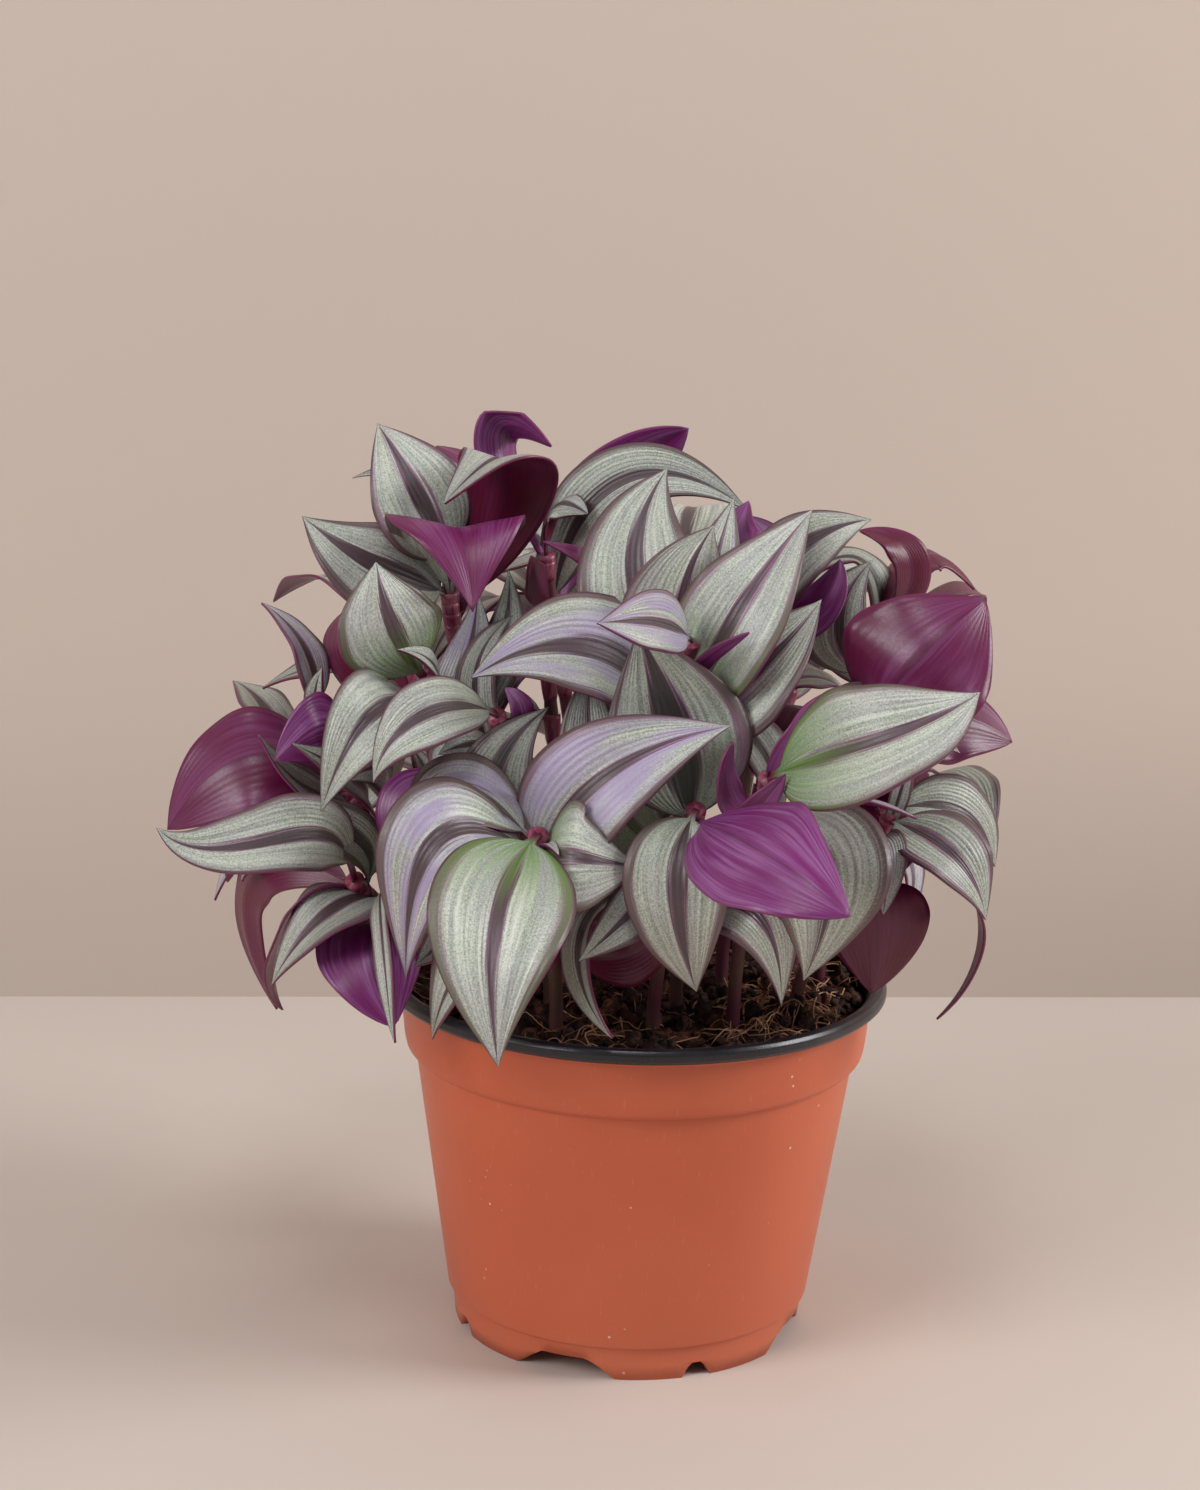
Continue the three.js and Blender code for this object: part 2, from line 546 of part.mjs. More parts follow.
/** A closed solid from a three.js geometry. */
function solid(geometry) {
  const plain = geometry.clone();
  plain.deleteAttribute('normal');
  plain.deleteAttribute('uv');
  const merged = mergeVertices(plain);
  return new wasm.Manifold(new wasm.Mesh({
    numProp: 3,
    vertProperties: new Float32Array(merged.attributes.position.array),
    triVerts: new Uint32Array(merged.index.array),
  }));
}

/** A three.js mesh from a closed solid. */
function mesh(name, body, look) {
  const { numProp, vertProperties, triVerts } = body.getMesh();
  const positions = new Float32Array((vertProperties.length / numProp) * 3);
  for (let i = 0; i < positions.length / 3; i += 1) {
    for (let k = 0; k < 3; k += 1) positions[3 * i + k] = vertProperties[numProp * i + k];
  }
  const geometry = new THREE.BufferGeometry();
  geometry.setAttribute('position', new THREE.BufferAttribute(positions, 3));
  geometry.setIndex(new THREE.BufferAttribute(new Uint32Array(triVerts), 1));
  geometry.computeVertexNormals();
  const shape = new THREE.Mesh(geometry, new THREE.MeshStandardMaterial({ metalness: 0, ...look }));
  shape.name = name;
  return shape;
}

/** A closed skin over rings of points, with the first and last ring capped from their first point. */
function skin(rings) {
  const size = rings[0].length;
  const index = [];
  for (let r = 0; r < rings.length - 1; r += 1) {
    for (let k = 0; k < size; k += 1) {
      const a = r * size + k;
      const b = r * size + ((k + 1) % size);
      index.push(a, b, b + size, a, b + size, a + size);
    }
  }
  const end = (rings.length - 1) * size;
  for (let k = 1; k < size - 1; k += 1) {
    index.push(0, k + 1, k, end, end + k, end + k + 1);
  }
  const geometry = new THREE.BufferGeometry();
  geometry.setAttribute('position', new THREE.Float32BufferAttribute(rings.flat(2), 3));
  geometry.setIndex(index);
  return geometry;
}

/** A blade as a closed solid: the same triangles on its upper and lower face, joined along the edge. */
function bladeSolid(leaf) {
  const { stations, across } = BLADE_KINDS.find((kind) => leaf.half * 2 >= kind.least);
  const upper = [];
  const lower = [];
  for (const t of stations) {
    for (const s of across) {
      const { point, up } = bladePoint(leaf, t, s);
      upper.push(...point.clone().addScaledVector(up, BLADE_THICKNESS / 2).toArray());
      lower.push(...point.clone().addScaledVector(up, -BLADE_THICKNESS / 2).toArray());
    }
  }
  const columns = across.length;
  const rows = stations.length;
  const under = rows * columns;
  const index = [];
  for (let r = 0; r < rows - 1; r += 1) {
    for (let c = 0; c < columns - 1; c += 1) {
      const a = r * columns + c;
      const quad = [a, a + 1, a + 1 + columns, a + columns];
      // the diagonals lean the same way on both halves of the blade
      const cut = c < (columns - 1) / 2 ? [[0, 1, 2], [0, 2, 3]] : [[0, 1, 3], [1, 2, 3]];
      for (const [i, j, k] of cut) {
        index.push(quad[i], quad[j], quad[k]);
        index.push(under + quad[i], under + quad[k], under + quad[j]);
      }
    }
  }
  const border = [];
  for (let c = 0; c < columns - 1; c += 1) border.push(c);
  for (let r = 0; r < rows - 1; r += 1) border.push(r * columns + columns - 1);
  for (let c = columns - 1; c > 0; c -= 1) border.push((rows - 1) * columns + c);
  for (let r = rows - 1; r > 0; r -= 1) border.push(r * columns);
  border.forEach((a, i) => {
    const b = border[(i + 1) % border.length];
    index.push(b, a, under + a, b, under + a, under + b);
  });
  const geometry = new THREE.BufferGeometry();
  geometry.setAttribute('position', new THREE.Float32BufferAttribute([...upper, ...lower], 3));
  geometry.setIndex(index);
  return solid(geometry);
}

/** A stem: straight in the mix, then bending over to its top, where it narrows. */
function stemSolid(shoot) {
  const centres = [new THREE.Vector3(shoot.root[0], shoot.root[1], SOIL_TOP - STEM_DEPTH)];
  for (let i = 0; i < STEM_RINGS; i += 1) centres.push(stemPoint(shoot, i / (STEM_RINGS - 1)));
  const rings = centres.map((centre, i) => {
    const next = centres[Math.min(i + 1, centres.length - 1)];
    const along = i < 2 ? UP.clone() : next.clone().sub(centres[i - 1]).normalize();
    const right = new THREE.Vector3(0, 1, 0).cross(along).normalize();
    const front = along.clone().cross(right);
    const radius = i === centres.length - 1 ? STEM_TIP_RADIUS : STEM_RADIUS;
    return Array.from({ length: STEM_SIDES }, (_, k) => {
      const angle = (2 * Math.PI * k) / STEM_SIDES;
      const point = centre.clone().addScaledVector(right, radius * Math.cos(angle));
      return point.addScaledVector(front, radius * Math.sin(angle)).toArray();
    });
  });
  return solid(skin(rings));
}

/** Joins solids into one body, and leaves out loose scraps and sealed hollows. */
function fuse(solids) {
  const joined = solids.reduce((sum, next) => sum.add(next));
  const pieces = joined.decompose().filter((piece) => piece.volume() > 0);
  return pieces.reduce((best, piece) => (piece.volume() > best.volume() ? piece : best));
}

// ---- Pot ----

/** The pot's section, closed: up the outer wall, over the lip, down inside and under the floor. */
function potOutline() {
  const ring = FOOT_RADIUS - FOOT_RING_WIDTH;
  const outer = [
    [FOOT_RADIUS, 0], [FOOT_RADIUS + 1, STEP_HEIGHT - 0.8], [STEP_RADIUS, STEP_HEIGHT],
    [CREASE_RADIUS, CREASE_HEIGHT - 0.4], [CREASE_RADIUS + 1.4, CREASE_HEIGHT + 1.6],
    [COLLAR_RADIUS - 0.8, CREASE_HEIGHT + 5.6], [COLLAR_RADIUS, LIP_BOTTOM],
  ];
  const lip = [
    [LIP_RADIUS - 0.6, LIP_BOTTOM + 0.2], [LIP_RADIUS, LIP_BOTTOM + 1.4], [LIP_RADIUS, POT_HEIGHT - 1.2],
    [LIP_RADIUS - 1.1, POT_HEIGHT], [COLLAR_RADIUS + 0.4, POT_HEIGHT - 0.4],
  ];
  const inner = [
    [COLLAR_RADIUS - WALL, LIP_BOTTOM], [COLLAR_RADIUS - 0.8 - WALL, CREASE_HEIGHT + 6],
    [CREASE_RADIUS - WALL, CREASE_HEIGHT], [STEP_RADIUS - WALL, STEP_HEIGHT + 0.6],
  ];
  // the foot ring is hollow from below, and the floor spans it
  const foot = [
    [FOOT_RADIUS - WALL, 1], [ring + WALL, 1], [ring, FLOOR_HEIGHT + WALL], [0, FLOOR_HEIGHT + WALL],
    [0, FLOOR_HEIGHT], [ring - 1, FLOOR_HEIGHT], [ring, 0],
  ];
  return [...outer, ...lip, ...inner, ...foot, outer[0]].map(([r, z]) => new THREE.Vector2(r, z));
}

/** A wedge that opens the foot ring at one place, wider at the ground than at its top. */
function notch(shape, angle) {
  const outline = new THREE.Shape([
    new THREE.Vector2(-shape.bottom / 2, -1), new THREE.Vector2(shape.bottom / 2, -1),
    new THREE.Vector2(shape.top / 2, shape.height), new THREE.Vector2(-shape.top / 2, shape.height),
  ]);
  const depth = 2 * FOOT_RING_WIDTH;
  const wedge = new THREE.ExtrudeGeometry(outline, { depth, bevelEnabled: false });
  wedge.rotateX(Math.PI / 2);
  wedge.translate(0, -(FOOT_RADIUS + NOTCH_MARGIN - depth), 0);
  wedge.rotateZ(radians(angle));
  return solid(wedge);
}

function makePot() {
  const lathe = new THREE.LatheGeometry(potOutline(), POT_SEGMENTS);
  lathe.rotateX(Math.PI / 2);
  let body = solid(lathe);
  for (const shape of [WIDE_NOTCH, SMALL_NOTCH]) {
    for (let i = 0; i < shape.count; i += 1) {
      body = body.subtract(notch(shape, shape.first + (360 / shape.count) * i + 90));
    }
  }
  const { count, radius, ring, depth } = DRAIN_HOLES;
  for (let i = 0; i < count; i += 1) {
    const angle = (2 * Math.PI * i) / count;
    const drill = new THREE.CylinderGeometry(radius, radius, depth, DRAIN_SEGMENTS);
    drill.rotateX(Math.PI / 2);
    drill.translate(ring * Math.cos(angle), ring * Math.sin(angle), FLOOR_HEIGHT);
    body = body.subtract(solid(drill));
  }
  return mesh('pot', body, COLOURS.terracotta);
}

// ---- Potting mix ----

/** Height of the mix at a place: a low mound with lumps, heaped a little at the right. */
function soilHeight(x, y) {
  const { mound, coarse, fine, heap } = SOIL_SHAPE;
  const r = Math.hypot(x, y) / LIP_RADIUS;
  const [cx, sx, cy] = coarse.waves;
  const [fx, fy] = fine.waves;
  const lumps = coarse.height * Math.sin(cx * x + sx) * Math.cos(cy * y);
  const crumbs = fine.height * Math.sin(fx * x + fy * y);
  const far = (x - heap.x) ** 2 + (y - heap.y) ** 2;
  return SOIL_TOP - 1 + mound * (1 - r * r) + lumps + crumbs + heap.height * Math.exp(-far / heap.spread);
}

function makeSoil(shoots) {
  const slope = (CREASE_RADIUS - STEP_RADIUS) / (CREASE_HEIGHT - STEP_HEIGHT);
  const inside = (z) => STEP_RADIUS + slope * (z - STEP_HEIGHT) - SOIL_ROOM;
  const low = STEP_HEIGHT + 4;
  const high = CREASE_HEIGHT - 3;
  const sides = [
    [STEP_RADIUS - SOIL_ROOM - 1.4, FLOOR_HEIGHT + WALL + SOIL_GAP], [inside(low), low], [inside(high), high],
    [inside(high) + 0.3, CREASE_HEIGHT + 2], [COLLAR_RADIUS - SOIL_ROOM - 1.2, CREASE_HEIGHT + 6.5],
  ];
  const edge = COLLAR_RADIUS - SOIL_ROOM - 0.6;
  const rings = sides.map(([r, z]) => circle(r, () => z));
  for (let i = 0; i < SOIL_RINGS; i += 1) rings.push(circle(edge * (1 - i / SOIL_RINGS), soilHeight));
  let body = solid(skin([...rings, circle(SOIL_CENTRE, soilHeight)]));
  const radius = (STEM_RADIUS + HOLE_GAP) / Math.cos(Math.PI / STEM_SIDES);
  for (const { root } of shoots) {
    const drill = new THREE.CylinderGeometry(radius, radius, 2 * STEM_DEPTH + 1, STEM_SIDES);
    drill.rotateX(Math.PI / 2);
    drill.translate(root[0], root[1], SOIL_TOP);
    body = body.subtract(solid(drill));
  }
  return mesh('potting_mix', body, COLOURS.peat);
}

/** A ring of points round the pot's axis. */
function circle(radius, height) {
  return Array.from({ length: SOIL_SEGMENTS }, (_, k) => {
    const angle = (2 * Math.PI * k) / SOIL_SEGMENTS;
    const x = radius * Math.cos(angle);
    const y = radius * Math.sin(angle);
    return [x, y, height(x, y)];
  });
}

// ---- Plant ----

function makePlant() {
  const draw = stream(LEAF_RULE.seed);
  const shoots = [...SHOOTS, ...BACK_SHOOTS];
  const leaves = [
    ...SHOOTS.flatMap((shoot) => frontLeaves(shoot, draw).map((set) => makeLeaf(shoot, set))),
    ...BACK_SHOOTS.flatMap((shoot) => backLeaves(shoot, draw).map((set) => makeLeaf(shoot, set))),
  ];
  bendClear(leaves, shoots);
  for (const [name, places] of Object.entries(SHORTER)) {
    const own = leaves.filter((leaf) => leaf.shoot.name === name);
    for (const [place, factor] of Object.entries(places)) own[place].size *= factor;
  }
  const stems = shoots.map((shoot) => {
    const own = leaves.filter((leaf) => leaf.shoot === shoot);
    return mesh(shoot.name, fuse([stemSolid(shoot), ...own.map(bladeSolid)]), COLOURS.leaf);
  });
  return { shoots, stems };
}

const plant = makePlant();
const group = new THREE.Group();
group.add(makePot(), makeSoil(plant.shoots), ...plant.stems);

// the origin is under the middle of the whole plant
const middle = new THREE.Box3().setFromObject(group).getCenter(new THREE.Vector3());
group.children.forEach((piece) => piece.geometry.translate(-middle.x, -middle.y, 0));

export default group;
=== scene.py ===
"""Looks of a potted tradescantia: striped leaves on loose stems, a two-colour pot and potting mix.

Sizes in the tables are millimetres from the middle of the pot's foot, x to the right, y to the back, z up.
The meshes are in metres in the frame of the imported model.
"""
import math
import random

import bmesh
import bpy
import numpy as np
from bpy.props import FloatProperty, FloatVectorProperty, PointerProperty
from bpy.types import Operator, Panel, PropertyGroup
from mathutils import Matrix, Vector, noise


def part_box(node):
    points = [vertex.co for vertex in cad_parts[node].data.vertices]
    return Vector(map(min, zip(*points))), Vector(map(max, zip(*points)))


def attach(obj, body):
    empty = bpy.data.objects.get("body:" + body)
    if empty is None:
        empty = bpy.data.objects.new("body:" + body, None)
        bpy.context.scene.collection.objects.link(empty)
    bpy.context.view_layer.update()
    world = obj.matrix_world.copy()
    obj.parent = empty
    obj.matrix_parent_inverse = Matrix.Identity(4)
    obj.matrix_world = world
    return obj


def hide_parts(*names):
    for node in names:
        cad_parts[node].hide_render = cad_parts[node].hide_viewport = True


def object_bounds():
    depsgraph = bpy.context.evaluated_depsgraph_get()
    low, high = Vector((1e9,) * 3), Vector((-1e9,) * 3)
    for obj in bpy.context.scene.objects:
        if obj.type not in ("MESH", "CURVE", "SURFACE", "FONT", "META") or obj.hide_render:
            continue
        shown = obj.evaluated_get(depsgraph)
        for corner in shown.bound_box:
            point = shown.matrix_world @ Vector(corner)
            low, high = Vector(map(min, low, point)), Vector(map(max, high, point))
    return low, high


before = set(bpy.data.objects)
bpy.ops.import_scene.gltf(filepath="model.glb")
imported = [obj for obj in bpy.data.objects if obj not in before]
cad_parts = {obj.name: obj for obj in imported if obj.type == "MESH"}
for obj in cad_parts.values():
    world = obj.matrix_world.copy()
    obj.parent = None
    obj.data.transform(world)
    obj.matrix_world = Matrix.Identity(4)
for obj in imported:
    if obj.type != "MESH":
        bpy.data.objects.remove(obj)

bl_info = {
    "name": "Potted Tradescantia",
    "version": (1, 0, 0),
    "blender": (4, 5, 0),
    "location": "3D View > Sidebar > Potted Plant",
    "description": "Builds a potted tradescantia around its packed solids",
    "category": "Object",
}

MM = 0.001
CAD_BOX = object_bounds()
BOX_ROOM = 0.4 * MM  # what the blades' middle planes keep off the box, for their thickness
CAD_LOW, CAD_HIGH = np.array(CAD_BOX[0]) + BOX_ROOM, np.array(CAD_BOX[1]) - BOX_ROOM
POT_LOW, POT_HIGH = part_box("pot")
POT_MIDDLE = (POT_LOW + POT_HIGH) / 2

# ---- pot ----
POT_HEIGHT = 94
LIP_RADIUS = 65
LIP_BOTTOM = 89.9
FLOOR_HEIGHT = 6
FLOOR_THICKNESS = 1
POT_STEPS = 180
POT_WALL = [  # outer wall from the foot up, over the rolled lip, and down inside
    (45.4, 0), (45.9, 4.2), (46.4, 8.9), (47.5, 9.3), (56.9, 73.0), (57.1, 74.0), (58.6, 74.3), (59.4, 75.3),
    (59.9, 77.6), (60.2, 80.4), (60.9, 88.6), (61.6, 89.8), (64.0, 90.0), (64.9, 91.0), (64.9, 92.6),
    (64.2, 93.7), (62.8, 93.9), (61.4, 93.3), (60.0, 91.4), (59.3, 80.0), (56.3, 74.0), (46.5, 10.2),
    (44.6, 7.0),
]
POT_FOOT = [(41.9, 7.0), (0.05, 7.0), (0.05, 6.0), (41.2, 6.0), (41.8, 5.2), (41.8, 0)]
POT_ROUNDING = 0.22
SHARP_WITHIN = (40, 4)  # corners nearer the axis or the table than this aren't rounded
FOOT_RING = (41, 5.3)  # its inner radius and its height
LINING_FROM = 7.5
FLOOR_TOP = (45, 6.5)
WIDE_NOTCH = dict(first=-110.5, half_low=17.0, half_high=7.6, height=5.2)
SMALL_NOTCH = dict(first=-67.0, half_low=4.3, half_high=2.4, height=4.0)
NOTCH_COUNT = 4
DRAINS = 4
DRAIN_RING = 27
DRAIN_RADIUS = 4
DRAIN_SIDES = 40
DRAIN_CUT = 4  # how long the tool is that cuts it

# ---- potting mix ----
MIX_TOP = 88.5
MIX_EDGE = 58.9
MIX_AXIS = 0.02  # radius that is merged to a point
MIX_SIDE = [(MIX_AXIS, 7.4), (44.5, 7.4), (46.6, 13), (55.2, 71), (55.6, 76), (58.2, 80.5)]
MIX_STEPS = 150
MIX_RINGS = 62
MOUND = 1.6
BROAD_LUMPS = dict(height=0.9, x=0.31, start=1.2, y=0.27)
SLANTED_LUMPS = dict(height=0.6, x=0.53, y=-0.47)
LUMPS_SINK = 1
HEAP = dict(x=42, y=-20, height=2.8, spread=300)
ROUGH = dict(scale=0.33, height=1.5, fineness=(1.0, 2.0, 5))
GRIT = dict(scale=0.9, height=1.1, level=7)
ROUGH_FROM = 88
ROUGH_SINK = 0.5
CRUMBS = 1500
CRUMB_SEED = 5
CRUMB_RING = 57.5
CRUMB_RADIUS = (0.55, 2.4)  # the least, and what the largest have more
CRUMB_SMALL = 4  # the higher, the more of them are small
CRUMB_ROUND_FROM = 1.3
CRUMB_ROUGHNESS = 0.35
CRUMB_STRETCH = ((0.7, 1.8), (0.7, 1.1), (0.5, 0.9))
CRUMB_LIFT = 0.3
CRUMB_STACK = (0.0, 0.7)  # how much higher some lie, in radii
FIBRES = 420
FIBRE_SEED = 11
FIBRE_RING = 56
FIBRE_EDGE = 58.3
FIBRE_STEPS = 8
FIBRE_SIDES = 4
FIBRE_RADII = (0.09, 0.12, 0.16, 0.22)
FIBRE_LENGTH = (5, 20)
FIBRE_RISE = (0.2, 3.2)
FIBRE_HUMP = (0.9, 1.1)
FIBRE_CURL = 0.35
FIBRE_WANDER = 0.25
FIBRE_END = 0.4  # its radius at the end, as a share
FIBRE_LIFT = 0.9
FIBRE_HEAP = dict(share=0.45, x=(38, 11), y=(-24, 16))  # where more of them lie: middle and spread
RIM_STRANDS = (188, 194, 201, 4)  # degrees round the pot of a few strands that hang over the lip
RIM_STRAND = dict(radius=0.16, sides=5, lean=1.4, uneven=(0.2, 1), tone=0.9)
RIM_PATH = ((55, 90.3), (58.5, 92.0), (61.0, 94.2), (63.3, 94.4), (65.1, 93.7), (65.8, 91.0), (66.0, 87.5))

# ---- stems and blades ----
FREE_HEIGHT = 92
STEM_DEPTH = 12
STEM_RADIUS = 1.7
STEM_TIP_RADIUS = 0.9
STEM_SIDES = 12
STEM_RINGS = 26
TAPER_FROM = 0.92
SWELL = dict(more=0.3, reach=0.02)  # where a leaf sits on a stem
YOUNG_WIDTH = 9
SHEATHS = {"young": (3.5, 2.1), "grown": (6.5, 2.5)}  # length below the leaf, and radius at the mouth
SHEATH_ABOVE = 0.8
SHEATH_FOOT = STEM_RADIUS + 0.1
SHEATH_FLARE = 0.7
SHEATH_RINGS = 6
HAIRS_PER_SHEATH = 12
HAIR_LENGTH = (0.9, 2.1)
HAIR_RADII = (0.035, 0.01)
HAIR_LEAN = (0.3, 1.6)
HAIR_SIDES = 3
SHEATH_SKIN, HAIR_SKIN = 1, 2  # places in the list of a stalk's materials
LEAF_SPACING = 3.4
START_RISE = 0.35
FRONT_WIDEN = 1.15
BLADE_THICKNESS = 0.6
BLADE_FOLD = 0.34
BLADE_ROUND = 0.16
BLADE_BASE_HALF = 1.1
BLADE_TIP_HALF = 0.35
BLADE_NECK = 0.07
BLADE_RISE = 0.75
BLADE_FALL = 1.3
EDGE_BEND_AT = (0.2, 0.5, 0.8)
EDGE_BEND_MOST = 0.3
BLADE_ROWS = 40
BLADE_COLUMNS = 16

# ---- finer outline of the blades that are seen ----
FINE_TIP_HALF = 0.05
FINE_RISE = 0.68
FINE_FALL = {True: 0.82, False: 1.1}  # blades that show their underside are blunter
SOFT_FOLD = 0.008  # rounds the fold at the midrib
EDGE_WAVES = ((0.075, 8.5), (0.035, 19.0))  # height in half widths, and radians from base to tip
WAVE_AT_EDGE = 2.5
WAVE_SIDES_APART = 1.3
UNEVEN = (0.05, 4.2)  # how the two halves differ in width along the blade

# ---- room between the blades ----
# All but FULLER are the values that the solids were made with, so the blades hang where theirs do.
ROUNDS = 220
GAP = 3  # between blades of different stems
OWN_GAP = 1.4  # between blades of one stem
TOUCH = 10  # samples of two blades nearer than this may push
BESIDE = 6  # how far beside a blade a sample still counts as over it
STEP = 0.6  # share of each wish that one round grants
RELAX = 0.997  # how much of its bend a leaf keeps from round to round
WIDE = 18  # set leaves from this width on are main ones
MAIN, SMALL, RULED = 5, 2, 1  # how firmly a leaf keeps its place
MOST_BEND = {MAIN: 0.2, SMALL: 0.35, RULED: 1.1}
MOST_SHIFT = {MAIN: 24, SMALL: 20, RULED: 0}
FULLER = {MAIN: 1.06, SMALL: 1.1, RULED: 1.18}  # how much wider the seen blades are than the solids
VIEW_AWAY = np.array([0, 0.974, -0.226])  # away from the photograph's camera
VIEW_LEAST = 0.15
SHRINK_AFTER = 80  # after this round, blades that still cross get shorter
SHRINK = 0.985
SHRINK_LEAST = 0.55
CROSSED = -0.3
PATH_STEP = 3
STEM_PULL = 6
STEM_ROOM = 4.5
OWN_STEM_FREE = 0.4  # the part of a blade that may lie on its own stem
RIM_ROOM = 3
LIP_WIDTH = 1
REACH = dict(left=-112, right=92, back=98, top=214)
STATIONS = np.array([0.16, 0.3, 0.44, 0.58, 0.72, 0.86, 1])
ACROSS = np.array([-1, -0.5, 0, 0.5, 1])
FRONT = (0, -0.8, 0.6)
RULE = dict(seed=28, turns=(0, 95, -80, 40, -140, 150, -35), jitter=14, length=(40, 52), width=(19, 25),
            rise=(9, 15), lift=(10, -22), lowest=0.5, outward=0.6, upward=0.8)
FILL = dict(turns=(35, -60, 80), highest=0.66, step=0.14, lift=(-4, -16), shorter=0.9)
SHORTER = {"stem_left": {6: 0.3}}  # leaves that stay shorter where two stems cross, and by how much

# How a leaf is coloured: lilac sheen; dark bands, with painted shade on leaves that hang in shade;
# green at its base; and how bright its underside is, which paints light and shade on it.
LOOKS = {
    "s": (0.15, 0.35, 0.15, 0.45), "l": (0.85, 0.30, 0.10, 0.50), "g": (0.20, 0.25, 0.85, 0.50),
    "d": (0.05, 0.90, 0.25, 0.30), "p": (0.30, 0.10, 0.30, 0.70), "m": (0.35, 0.40, 0.20, 0.95),
    "r": (0.25, 0.60, 0.10, 0.10), "v": (0.45, 0.45, 0.10, 0.30),
}
# Looks of the ruled leaves: several are dark, which paints shade on the plant's inside.
RULED_LOOKS = "sdsrslds"
UNDERSIDE_LOOKS = "pmrv"
SEED_SPREAD = 37  # keeps the leaves' noise apart
LEAF_MIDDLE = 0.45

